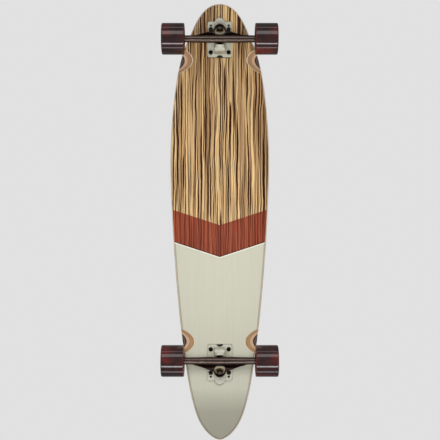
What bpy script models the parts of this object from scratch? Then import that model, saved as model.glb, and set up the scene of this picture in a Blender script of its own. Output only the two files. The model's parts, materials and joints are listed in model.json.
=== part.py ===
"""Pintail longboard: laminated deck with a kicktail, two reverse-kingpin trucks and four wheels.

Metres, +Z up, nose along +X, left side along +Y. The board stands on its wheels, and the
origin is on the ground in the middle of the board's length and width.

A truck is modelled in its own frame: the origin is in the middle of the bolt pattern on the
baseplate's board side, +X points outboard, away from the middle of the board, and +Z up.
"""

import math

import bmesh
import bpy
from mathutils import Matrix, Vector
from mathutils.geometry import interpolate_bezier

MM = 0.001
GAP = 0.3 * MM
OVERLAP = 1.0 * MM

# Deck
DECK_LENGTH = 1016 * MM
DECK_WIDTH = 229.4 * MM
DECK_THICKNESS = 11.5 * MM
RAIL_RADIUS = 2.6 * MM
WIDEST_FROM_NOSE = 366 * MM
NOSE_SHOULDER_BACK = 84.5 * MM
NOSE_SHOULDER_HALF = 72.7 * MM
NOSE_SHOULDER_SLOPE = 0.65
TAIL_SHOULDER_BACK = 48.3 * MM
TAIL_SHOULDER_HALF = 48.9 * MM
TAIL_SHOULDER_SLOPE = 0.45
NOSE_ROUNDNESS = 49.5 * MM
TAIL_ROUNDNESS = 9.7 * MM
NOSE_SHOULDER_HANDLES = (10.4 * MM, 53.8 * MM)
WIDEST_HANDLES = (89.6 * MM, 145 * MM)
TAIL_SHOULDER_HANDLES = (97.8 * MM, 38.7 * MM)
NOSE_TIP_STRETCH = 90 * MM
TAIL_TIP_STRETCH = 60 * MM
CONCAVE_DEPTH = 5 * MM
FLAT_HALF_WIDTH = 33 * MM
KICK_LENGTH = 129 * MM
KICK_BLEND = 63 * MM
KICK_ANGLE = math.radians(10)
GRIP_THICKNESS = 0.9 * MM
GRIP_INSET = 3.2 * MM
WELL_REACH = 29 * MM
WELL_HALF_LENGTH = 30 * MM
WELL_DEPTH = 7.8 * MM
WELL_INBOARD_OF_AXLE = 34 * MM

# Where the trucks sit
NOSE_TO_BOLTS = 89.3 * MM
TAIL_TO_BOLTS = 187.2 * MM

# Baseplate and riser pad
RISER_THICKNESS = 3 * MM
PLATE_THICKNESS = 5 * MM
PLATE_WIDTH = 57.5 * MM
PLATE_INBOARD = 37.5 * MM
PLATE_OUTBOARD = 46 * MM
PLATE_CORNER = 4.5 * MM
TONGUE_WIDTH = 25.7 * MM
TONGUE_REACH = 54.5 * MM
TONGUE_THICKNESS = 8.3 * MM
TOWER_WIDTH = 24 * MM
NOTCH_WIDTH = 16 * MM
NOTCH_DEPTH = 5.3 * MM
BOLT_SPAN_LONG = 54 * MM
BOLT_SPAN_OLD = 63.5 * MM
BOLT_SPAN_WIDE = 41.3 * MM
CHANNEL_WIDTH = 6 * MM
CHANNEL_DEPTH = 1.4 * MM
PLATE_EDGE = 0.7 * MM
TONGUE_EDGE = 1.2 * MM
TOWER_EDGE = 1.6 * MM
TONGUE_SET_IN = 0.4 * MM
SEAT_MARGIN = 1.4 * MM
SPOT_FACE_DEPTH = 0.4 * MM

# Mounting bolts
BOLT_RADIUS = 2.4 * MM
BOLT_HEAD_RADIUS = 4.6 * MM
BOLT_HEAD_HEIGHT = 2.6 * MM
BOLT_TAIL = 2.2 * MM
BOLT_NUT_FLATS = 9.5 * MM
BOLT_NUT_HEIGHT = 4.6 * MM

# Kingpin and bushings
KINGPIN_TILT = math.radians(42)
KINGPIN_RADIUS = 4.76 * MM
KINGPIN_HEAD_FLATS = 14.3 * MM
KINGPIN_HEAD_HEIGHT = 5 * MM
KINGPIN_TAIL = 1.4 * MM
KINGPIN_NUT_HEIGHT = 5 * MM
KINGPIN_HEAD_BELOW_BASE = 0.327 * MM
SEAT_WEB = 6.9 * MM
BUSHING_RADIUS = 12 * MM
BUSHING_EASE = 0.6 * MM
BUSHING_SEAT_CLEARANCE = 0.5 * MM
BOARDSIDE_BUSHING_HEIGHT = 12.7 * MM
ROADSIDE_BUSHING_HEIGHT = 8.5 * MM
WASHER_OVERHANG = 0.3 * MM
WASHER_THICKNESS = 1.5 * MM
CUP_WASHER_RADIUS = 10.2 * MM
CUP_WASHER_WALL = 1 * MM
CUP_WASHER_RIM = 2.6 * MM

# Hanger
AXLE_INBOARD_OF_BOLTS = 8.5 * MM
YOKE_OUTBOARD_OF_AXLE = 17.5 * MM
YOKE_ABOVE_AXLE = 34 * MM
RING_WALL = 3 * MM
RING_HALF = 5 * MM
RING_WEB_HALF = 3.5 * MM
RING_BORE = 8 * MM
YOKE_THICKNESS = 7 * MM
YOKE_LIP = 2 * MM
YOKE_FLANK = ((-16 * MM, 12 * MM), (-10.5 * MM, 26 * MM), (0, 32.5 * MM), (7.5 * MM, 59 * MM))
HOOD_WALL = 1.8 * MM
HOOD_ABOVE_AXLE = 29 * MM
HANGER_WIDTH = 182 * MM
BAR_RADIUS = 8.85 * MM
BAR_END_RADIUS = 8 * MM
BAR_MIDDLE = 44 * MM
BAR_END = 26 * MM
ARM_THICKNESS = 9 * MM
ARM_FLANK = ((-5 * MM, 28 * MM), (2 * MM, 39 * MM), (12 * MM, 52 * MM))
ARM_TIP = 66 * MM
CAST_EDGE = 1.8 * MM
PIVOT_REACH = 37 * MM
PIVOT_BALL = 4.75 * MM
PIVOT_CUP_WALL = 2.4 * MM
PIVOT_CUP_DEPTH = 8 * MM
PIVOT_BOSS_WALL = 3.2 * MM
PIVOT_BOSS_SET_BACK = 2.5 * MM
PIVOT_MOUTH_TO_BAR = 3.55 * MM
PIVOT_MOUTH_SLOPE = math.radians(21.4)

# Axle, wheels and bearings
AXLE_RADIUS = 4 * MM
AXLE_NUT_FLATS = 12.7 * MM
AXLE_NUT_HEIGHT = 6 * MM
AXLE_TAIL = 1.2 * MM
SPEED_RING_LAND = 1.9 * MM
SPEED_RING_THICKNESS = 1 * MM
BEARING_RADIUS = 11 * MM
BEARING_WIDTH = 7 * MM
SPACER_LENGTH = 10 * MM
SPACER_WALL = 1.3 * MM
SPACER_CLEARANCE = 2 * MM
WHEEL_RADIUS = 35 * MM
WHEEL_WIDTH = 51 * MM
WHEEL_LIP = 2.8 * MM
WHEEL_FACE_RADIUS = 26 * MM
WHEEL_CORE_WALL = 3.2 * MM
WHEEL_SIDES = 28

# Worked out from the sizes above
BORE_CLEARANCE = GAP
BUSHING_SEAT_RADIUS = BUSHING_RADIUS + BUSHING_SEAT_CLEARANCE
RING_RADIUS = BUSHING_SEAT_RADIUS + RING_WALL
BOARDSIDE_WASHER_RADIUS = BUSHING_RADIUS + WASHER_OVERHANG
BOARDSIDE_WASHER_AT = -(RING_WEB_HALF + GAP + BOARDSIDE_BUSHING_HEIGHT + GAP)
SEAT_AT = BOARDSIDE_WASHER_AT - WASHER_THICKNESS - GAP
HEAD_AT = SEAT_AT - SEAT_WEB
HEAD_END = HEAD_AT - GAP - KINGPIN_HEAD_HEIGHT
ROADSIDE_WASHER_AT = RING_WEB_HALF + GAP + ROADSIDE_BUSHING_HEIGHT + GAP
KINGPIN_NUT_AT = ROADSIDE_WASHER_AT + WASHER_THICKNESS + GAP
HEAD_ABOVE_YOKE = -HEAD_END * math.cos(KINGPIN_TILT) + KINGPIN_HEAD_FLATS / 2 * math.sin(KINGPIN_TILT)
AXLE_BELOW_BASE = YOKE_ABOVE_AXLE + HEAD_ABOVE_YOKE + KINGPIN_HEAD_BELOW_BASE
AXLE_BORE = AXLE_RADIUS + BORE_CLEARANCE
SPEED_RING_RADIUS = AXLE_BORE + SPEED_RING_LAND
SPACER_RADIUS = AXLE_BORE + SPACER_WALL
BEARING_SEAT_RADIUS = BEARING_RADIUS + BORE_CLEARANCE
WHEEL_CORE_RADIUS = BEARING_SEAT_RADIUS + WHEEL_CORE_WALL
DECK_UNDERSIDE = WHEEL_RADIUS + AXLE_BELOW_BASE + RISER_THICKNESS + 2 * GAP
DECK_TOP = DECK_UNDERSIDE + DECK_THICKNESS
BASE_HEIGHT = WHEEL_RADIUS + AXLE_BELOW_BASE
AXLE_PLACE = Vector((-AXLE_INBOARD_OF_BOLTS, 0, -AXLE_BELOW_BASE))
YOKE_PLACE = AXLE_PLACE + Vector((YOKE_OUTBOARD_OF_AXLE, 0, YOKE_ABOVE_AXLE))
ALONG_KINGPIN = Vector((math.sin(KINGPIN_TILT), 0, -math.cos(KINGPIN_TILT)))
ALONG_STEER_AXIS = Vector((math.cos(KINGPIN_TILT), 0, math.sin(KINGPIN_TILT)))
PIVOT_PLACE = YOKE_PLACE - PIVOT_REACH * ALONG_STEER_AXIS
PIVOT_CUP_RADIUS = PIVOT_BALL + GAP + PIVOT_CUP_WALL
PIVOT_BORE = PIVOT_CUP_RADIUS + GAP
PIVOT_BOSS_RADIUS = PIVOT_BORE + PIVOT_BOSS_WALL
BEARING_STACK = 2 * BEARING_WIDTH + SPACER_LENGTH + 2 * GAP
INBOARD_BEARING_AT = HANGER_WIDTH / 2 + 2 * GAP + SPEED_RING_THICKNESS
WHEEL_CENTRE = INBOARD_BEARING_AT + BEARING_STACK / 2
AXLE_NUT_AT = INBOARD_BEARING_AT + BEARING_STACK + 2 * GAP + SPEED_RING_THICKNESS
AXLE_LENGTH = 2 * (AXLE_NUT_AT + AXLE_NUT_HEIGHT + AXLE_TAIL)


def clear_scene():
    """Removes what the scene holds."""
    for obj in list(bpy.data.objects):
        bpy.data.objects.remove(obj, do_unlink=True)


def collection(name):
    """A new collection in the scene."""
    made = bpy.data.collections.new(name)
    bpy.context.scene.collection.children.link(made)
    return made


def finish(name, colour, roughness, metallic=0.0):
    """A Principled material with one colour."""
    material = bpy.data.materials.new(name)
    material.use_nodes = True
    shader = material.node_tree.nodes["Principled BSDF"]
    shader.inputs["Base Color"].default_value = (*colour, 1)
    shader.inputs["Roughness"].default_value = roughness
    shader.inputs["Metallic"].default_value = metallic
    material.diffuse_color = (*colour, 1)
    return material


clear_scene()
BOARD = collection("longboard")
CUTTERS = collection("cutters")
MAPLE = finish("zebra_maple", (0.42, 0.25, 0.12), 0.45)
GRIT = finish("black_grit", (0.012, 0.012, 0.013), 0.95)
RUBBER = finish("black_rubber", (0.015, 0.015, 0.015), 0.8)
PALE_PAINT = finish("pale_baseplate_paint", (0.58, 0.57, 0.47), 0.4)
BRONZE = finish("dark_bronze", (0.05, 0.04, 0.035), 0.35, 0.8)
STEEL = finish("steel", (0.6, 0.6, 0.58), 0.3, 1.0)
BLACK_STEEL = finish("black_steel", (0.02, 0.02, 0.02), 0.35, 0.8)
CREAM_URETHANE = finish("cream_urethane", (0.72, 0.66, 0.5), 0.5)
RED_URETHANE = finish("dark_red_urethane", (0.09, 0.008, 0.01), 0.25)
ACETAL = finish("black_acetal", (0.03, 0.03, 0.03), 0.5)


def keep(obj, parent=None, place=None):
    """Puts a finished piece in the board's collection, at a world matrix, under its parent."""
    BOARD.objects.link(obj)
    return stand(obj, parent, place)


def stand(obj, parent, place):
    """Sets where an object stands in the world, and what carries it."""
    if parent is not None:
        obj.parent = parent
        obj.matrix_parent_inverse = parent.matrix_world.inverted()
    if place is not None:
        obj.matrix_basis = place
    return obj


def hide_tool(obj, parent=None, place=None):
    """Keeps a cutter or a joining shape out of the render."""
    CUTTERS.objects.link(obj)
    obj.hide_render = True
    obj.display_type = "WIRE"
    return stand(obj, parent, place)


def empty(name, parent, place):
    """An empty that marks a truck, a steering axis or a wheel's axis."""
    made = bpy.data.objects.new(name, None)
    made.empty_display_size = 0.03
    BOARD.objects.link(made)
    stand(made, parent, place)
    bpy.context.view_layer.update()
    return made


def mesh_object(name, mesh, material):
    """An object round a mesh, with its material."""
    obj = bpy.data.objects.new(name, mesh)
    mesh.materials.clear()
    mesh.materials.append(material)
    return obj


def smooth(mesh, degrees=35):
    """Smooth shading, with sharp edges kept."""
    mesh.shade_smooth()
    mesh.set_sharp_from_angle(angle=math.radians(degrees))


def boolean(obj, tool, operation="DIFFERENCE"):
    """Cuts a tool from a piece, or joins it on."""
    modifier = obj.modifiers.new(tool.name, "BOOLEAN")
    modifier.operation = operation
    modifier.object = tool
    modifier.solver = "EXACT"


def turned(name, profile, steps, material, ring=False):
    """A (radius, height) profile spun round Z. It runs down its outer side, top to bottom."""
    mesh = bpy.data.meshes.new(name)
    count = len(profile)
    edges = [(i, i + 1) for i in range(count - 1)]
    if ring:
        edges.append((count - 1, 0))
    mesh.from_pydata([(radius, 0, height) for radius, height in profile], edges, [])
    obj = mesh_object(name, mesh, material)
    screw = obj.modifiers.new("Turn", "SCREW")
    screw.steps = steps
    screw.render_steps = steps
    screw.use_merge_vertices = True
    screw.merge_threshold = 0.00001
    screw.use_smooth_shade = steps > 6
    return obj


def cylinder_tool(name, radius, bottom, top, parent, place, segments=16):
    """A hidden cylinder along the Z of its place."""
    mesh = bpy.data.meshes.new(name)
    shape = bmesh.new()
    bmesh.ops.create_cone(
        shape,
        cap_ends=True,
        segments=segments,
        radius1=radius,
        radius2=radius,
        depth=top - bottom,
        matrix=Matrix.Translation((0, 0, (top + bottom) / 2)),
    )
    shape.to_mesh(mesh)
    shape.free()
    return hide_tool(mesh_object(name, mesh, RUBBER), parent, place)


def box_tool(name, low, high, parent, place):
    """A hidden box between two corners."""
    mesh = bpy.data.meshes.new(name)
    shape = bmesh.new()
    low, high = Vector(low), Vector(high)
    size = Matrix.Diagonal((*(high - low), 1))
    bmesh.ops.create_cube(shape, size=1, matrix=Matrix.Translation((low + high) / 2) @ size)
    shape.to_mesh(mesh)
    shape.free()
    return hide_tool(mesh_object(name, mesh, RUBBER), parent, place)


def slab(name, outline, thickness, material, bevel=0.0):
    """A flat outline in XY, as thick as given from Z = 0 down, as a mesh with bevelled edges."""
    curve = bpy.data.curves.new(name + "_outline", "CURVE")
    curve.dimensions = "2D"
    curve.fill_mode = "BOTH"
    curve.extrude = thickness / 2
    spline = curve.splines.new("POLY")
    spline.points.add(len(outline) - 1)
    for point, (x, y) in zip(spline.points, outline):
        point.co = (x, y, 0, 1)
    spline.use_cyclic_u = True
    flat = bpy.data.objects.new(name + "_outline", curve)
    BOARD.objects.link(flat)
    graph = bpy.context.evaluated_depsgraph_get()
    mesh = bpy.data.meshes.new_from_object(flat.evaluated_get(graph))
    bpy.data.objects.remove(flat, do_unlink=True)
    shape = bmesh.new()
    shape.from_mesh(mesh)
    bmesh.ops.remove_doubles(shape, verts=shape.verts, dist=0.000001)
    bmesh.ops.dissolve_limit(
        shape, angle_limit=math.radians(1), verts=shape.verts, edges=shape.edges
    )
    bmesh.ops.recalc_face_normals(shape, faces=shape.faces)
    bmesh.ops.translate(shape, verts=shape.verts, vec=(0, 0, -thickness / 2))
    shape.to_mesh(mesh)
    shape.free()
    mesh.name = name
    obj = mesh_object(name, mesh, material)
    if bevel:
        rounding = obj.modifiers.new("Rounding", "BEVEL")
        rounding.width = bevel
        rounding.segments = 1
        rounding.limit_method = "ANGLE"
        rounding.angle_limit = math.radians(50)
    return obj


def arc(centre, radius, start, end, steps):
    """Points on an arc, from one angle in degrees to another."""
    points = []
    for step in range(steps + 1):
        angle = math.radians(start + (end - start) * step / steps)
        points.append((centre[0] + radius * math.cos(angle), centre[1] + radius * math.sin(angle)))
    return points


def frame(origin, x_axis, y_axis, z_axis):
    """A matrix from an origin and three axes."""
    matrix = Matrix((x_axis, y_axis, z_axis)).transposed().to_4x4()
    matrix.translation = origin
    return matrix


def side_frame(origin, z_axis):
    """A frame whose Z lies in the truck's XZ plane, with its X there too."""
    across = Vector((0, 1, 0))
    return frame(origin, across.cross(z_axis), across, z_axis)


KINGPIN_FRAME = side_frame(YOKE_PLACE, ALONG_KINGPIN)
NOSE_DIRECTION = (PIVOT_PLACE - AXLE_PLACE).normalized()
PIVOT_FRAME = side_frame(PIVOT_PLACE, NOSE_DIRECTION)
HALF_FLAT = Matrix.Rotation(math.radians(30), 4, "Z")
AXLE_FRAME = frame(AXLE_PLACE, Vector((1, 0, 0)), Vector((0, 0, -1)), Vector((0, 1, 0)))


# Deck outline and surface


def outline_knots():
    """Knots of half the outline, nose to tail, as (handle in, knot, handle out)."""
    nose = Vector((DECK_LENGTH / 2, 0))
    tail = Vector((-DECK_LENGTH / 2, 0))
    nose_shoulder = Vector((nose.x - NOSE_SHOULDER_BACK, NOSE_SHOULDER_HALF))
    tail_shoulder = Vector((tail.x + TAIL_SHOULDER_BACK, TAIL_SHOULDER_HALF))
    widest = Vector((nose.x - WIDEST_FROM_NOSE, DECK_WIDTH / 2))
    widening = Vector((-1, NOSE_SHOULDER_SLOPE)).normalized()
    narrowing = Vector((-1, -TAIL_SHOULDER_SLOPE)).normalized()
    return [
        (nose, nose, nose + Vector((0, NOSE_ROUNDNESS))),
        (
            nose_shoulder - widening * NOSE_SHOULDER_HANDLES[0],
            nose_shoulder,
            nose_shoulder + widening * NOSE_SHOULDER_HANDLES[1],
        ),
        (
            widest + Vector((WIDEST_HANDLES[0], 0)),
            widest,
            widest - Vector((WIDEST_HANDLES[1], 0)),
        ),
        (
            tail_shoulder - narrowing * TAIL_SHOULDER_HANDLES[0],
            tail_shoulder,
            tail_shoulder + narrowing * TAIL_SHOULDER_HANDLES[1],
        ),
        (tail + Vector((0, TAIL_ROUNDNESS)), tail, tail),
    ]


def dense_outline(samples=160):
    """Closely spaced points along half the outline."""
    points = []
    knots = outline_knots()
    for (_, start, leaving), (arriving, end, _) in zip(knots, knots[1:]):
        points += interpolate_bezier(start, leaving, arriving, end, samples)[:-1]
    return points + [knots[-1][1]]


DENSE_OUTLINE = dense_outline()


def half_width(x):
    """Half the deck's width at one place along it."""
    for near, far in zip(DENSE_OUTLINE, DENSE_OUTLINE[1:]):
        if near.x >= x >= far.x:
            share = (near.x - x) / max(near.x - far.x, 1e-9)
            return near.y + (far.y - near.y) * share
    return 0.0


def rise(x, y):
    """How far concave and kicktail lift the deck at a point of its plan."""
    beyond_flat = max(0.0, abs(y) - FLAT_HALF_WIDTH) / (DECK_WIDTH / 2 - FLAT_HALF_WIDTH)
    concave = CONCAVE_DEPTH * beyond_flat**2
    along = KICK_LENGTH - DECK_LENGTH / 2 - x
    if along <= 0:
        return concave
    if along < KICK_BLEND:
        return concave + math.tan(KICK_ANGLE) * along**2 / (2 * KICK_BLEND)
    return concave + math.tan(KICK_ANGLE) * (along - KICK_BLEND / 2)


def stations():
    """Places along the deck, close together at the round ends and on the kick."""
    nose = DECK_LENGTH / 2
    steps = 8
    front = [
        nose - NOSE_TIP_STRETCH * (1 - math.cos(math.pi / 2 * step / steps)) for step in range(steps)
    ]
    back = [
        -nose + TAIL_TIP_STRETCH * (1 - math.cos(math.pi / 2 * step / steps)) for step in range(steps)
    ]
    kick_start = KICK_LENGTH - nose
    kick = [kick_start - KICK_BLEND * step / 4 for step in range(4)]
    length = nose - NOSE_TIP_STRETCH - kick_start
    spans = math.ceil(length / (46 * MM))
    middle = [nose - NOSE_TIP_STRETCH - length * step / spans for step in range(spans)]
    return front + middle + kick + back[::-1]


def inset_outline(inset):
    """Left-hand outline points at the stations, moved in by an inset."""
    places = stations()
    points = []
    for index, x in enumerate(places):
        if index in (0, len(places) - 1):
            points.append(Vector((x - math.copysign(inset, x), 0)))
            continue
        step = 0.5 * MM
        ahead = Vector((x + step, half_width(x + step)))
        behind = Vector((x - step, half_width(x - step)))
        along = (behind - ahead).normalized()
        points.append(Vector((x, half_width(x))) + inset * Vector((along.y, -along.x)) * -1)
    return points


def board_layer(name, rail, bottom, columns, material):
    """A board lofted through rings of (inset, height), closed by crowned faces on both sides."""
    shape = bmesh.new()
    rings = []
    for inset, height in rail:
        left = inset_outline(inset)
        right = [Vector((point.x, -point.y)) for point in left[-2:0:-1]]
        ring = [
            shape.verts.new((point.x, point.y, bottom + height + rise(point.x, point.y)))
            for point in left + right
        ]
        rings.append(ring)
    count = len(rings[0])
    for lower, upper in zip(rings, rings[1:]):
        for index in range(count):
            after = (index + 1) % count
            shape.faces.new((lower[index], upper[index], upper[after], lower[after]))
    last = len(stations()) - 1
    for ring, (_, height) in ((rings[0], rail[0]), (rings[-1], rail[-1])):
        rows = [[ring[0]]]
        for index in range(1, last):
            start, end = ring[index], ring[count - index]
            row = [start]
            for column in range(1, columns):
                place = start.co.lerp(end.co, column / columns)
                place.z = bottom + height + rise(place.x, place.y)
                row.append(shape.verts.new(place))
            rows.append(row + [end])
        rows.append([ring[last]])
        for ahead, behind in zip(rows, rows[1:]):
            for column in range(columns):
                corners = [
                    ahead[min(column, len(ahead) - 1)],
                    ahead[min(column + 1, len(ahead) - 1)],
                    behind[min(column + 1, len(behind) - 1)],
                    behind[min(column, len(behind) - 1)],
                ]
                shape.faces.new(list(dict.fromkeys(corners)))
    bmesh.ops.recalc_face_normals(shape, faces=shape.faces)
    mesh = bpy.data.meshes.new(name)
    shape.to_mesh(mesh)
    shape.free()
    smooth(mesh)
    return keep(mesh_object(name, mesh, material))


def rail_profile():
    """The deck's rounded rail, from its underside to its top, as (inset, height)."""
    corner = RAIL_RADIUS * (1 - math.sqrt(0.5))
    return [
        (RAIL_RADIUS, 0),
        (corner, corner),
        (0, RAIL_RADIUS),
        (0, DECK_THICKNESS - RAIL_RADIUS),
        (corner, DECK_THICKNESS - corner),
        (RAIL_RADIUS, DECK_THICKNESS),
    ]


def cut_wells(deck, truck_places):
    """Sands a wheel well into the underside with a tilted drum, beside each wheel."""
    drum = (WELL_HALF_LENGTH**2 + WELL_DEPTH**2) / (2 * WELL_DEPTH)
    lengthwise = Vector((1, 0, 0))
    for name, (bolts_x, outboard) in truck_places.items():
        x = bolts_x - outboard * (AXLE_INBOARD_OF_BOLTS + WELL_INBOARD_OF_AXLE)
        for side_name, side in (("left", 1), ("right", -1)):
            edge = half_width(x)
            inner = edge - WELL_REACH
            start = Vector((x, side * inner, DECK_UNDERSIDE + rise(x, inner)))
            end = Vector((x, side * edge, DECK_UNDERSIDE + rise(x, edge) + WELL_DEPTH))
            along = (end - start).normalized()
            roadward = along.cross(lengthwise) * side
            place = frame(start + drum * roadward, lengthwise, along.cross(lengthwise), along)
            tool_name = f"{name}_{side_name}_well_cutter"
            reach = 2 * WELL_REACH
            boolean(deck, cylinder_tool(tool_name, drum, -WELL_REACH, reach, None, place, 80))


# Trucks


def bolt_pattern(span):
    """Places of four bolts, one by one round the pattern."""
    across = BOLT_SPAN_WIDE / 2
    return [
        (span / 2, across),
        (span / 2, -across),
        (-span / 2, across),
        (-span / 2, -across),
    ]


def bolt_clearance(name, parent, place):
    """The countersunk hole of one bolt, from below the baseplate to above the grip tape."""
    top = RISER_THICKNESS + 2 * GAP + DECK_THICKNESS
    narrow = BOLT_RADIUS + BORE_CLEARANCE
    wide = BOLT_HEAD_RADIUS + BORE_CLEARANCE
    profile = [
        (0, top + 4 * MM),
        (wide, top + 4 * MM),
        (wide, top - GAP),
        (narrow, top - GAP - BOLT_HEAD_HEIGHT),
        (narrow, -2 * PLATE_THICKNESS),
        (0, -2 * PLATE_THICKNESS),
    ]
    return hide_tool(turned(name, profile, 12, RUBBER), parent, place)


def hex_profile(flats, height, chamfer, bottom=0.0):
    """Half the section of a hexagonal head or nut, for six steps."""
    corner = flats / math.sqrt(3)
    return [
        (0, bottom + height),
        (corner - chamfer, bottom + height),
        (corner, bottom + height - chamfer / 2),
        (corner, bottom),
        (0, bottom),
    ]


def mount_bolt(name, parent, place):
    """A countersunk bolt down through deck, riser and baseplate, with its nut on."""
    top = RISER_THICKNESS + 2 * GAP + DECK_THICKNESS
    nut_top = -PLATE_THICKNESS - GAP
    tail = nut_top - BOLT_NUT_HEIGHT - BOLT_TAIL
    profile = [
        (0, top),
        (BOLT_HEAD_RADIUS, top),
        (BOLT_RADIUS, top - BOLT_HEAD_HEIGHT),
        (BOLT_RADIUS, tail),
        (0, tail),
    ]
    bolt = keep(turned(name, profile, 10, BLACK_STEEL), parent, place)
    turn_over = Matrix.Translation((0, 0, nut_top)) @ Matrix.Rotation(math.pi, 4, "X")
    nut_profile = hex_profile(BOLT_NUT_FLATS, BOLT_NUT_HEIGHT, 0.8 * MM)
    nut = turned(name + "_nut", nut_profile, 6, BLACK_STEEL)
    boolean(bolt, hide_tool(nut, parent, place @ turn_over), "UNION")
    return bolt


def riser_outline():
    """Plan of the riser pad and plate: round corners, and a half-round tongue outboard."""
    half = PLATE_WIDTH / 2
    corner = PLATE_CORNER
    tongue = TONGUE_WIDTH / 2
    centre = TONGUE_REACH - tongue
    outline = arc((PLATE_OUTBOARD - corner, half - corner), corner, 0, 90, 3)
    outline += arc((-PLATE_INBOARD + corner, half - corner), corner, 90, 180, 3)
    outline += arc((-PLATE_INBOARD + corner, -half + corner), corner, 180, 270, 3)
    outline += arc((PLATE_OUTBOARD - corner, -half + corner), corner, 270, 360, 3)
    meet = math.degrees(math.acos((PLATE_OUTBOARD - centre) / tongue))
    outline += arc((centre, 0), tongue, -meet, meet, 10)
    return outline


def tongue_outline():
    """Plan of the raised middle of the baseplate, round at its outboard end."""
    half = TONGUE_WIDTH / 2 - TONGUE_SET_IN
    outline = arc((TONGUE_REACH - TONGUE_WIDTH / 2, 0), half, -90, 90, 12)
    inboard = -PLATE_INBOARD + NOTCH_DEPTH + OVERLAP
    return outline + [(inboard, half), (inboard, -half)]


def tower_outline():
    """Side view of the kingpin seat and pivot tower, as (x, z) in the truck's frame."""
    foot = -PLATE_THICKNESS + OVERLAP
    seat = YOKE_PLACE + (SEAT_AT + SPOT_FACE_DEPTH) * ALONG_KINGPIN
    seat_foot = seat + (foot - seat.z) / ALONG_STEER_AXIS.z * ALONG_STEER_AXIS
    seat_low = seat - (BOARDSIDE_WASHER_RADIUS + SEAT_MARGIN) * ALONG_STEER_AXIS
    roadward = Vector((-NOSE_DIRECTION.z, 0, NOSE_DIRECTION.x))
    face = PIVOT_PLACE + (PIVOT_BOSS_SET_BACK + OVERLAP) * NOSE_DIRECTION
    flank = PIVOT_BOSS_RADIUS - OVERLAP
    board_side = face - flank * roadward
    road_side = face + flank * roadward
    back = road_side + PIVOT_CUP_DEPTH * NOSE_DIRECTION
    heel = -PLATE_INBOARD + NOTCH_DEPTH + OVERLAP
    corners = [seat_foot, seat_low, board_side, road_side, back]
    outline = [(corner.x, corner.z) for corner in corners]
    return outline + [(heel, -TONGUE_THICKNESS), (heel, foot)]


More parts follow.
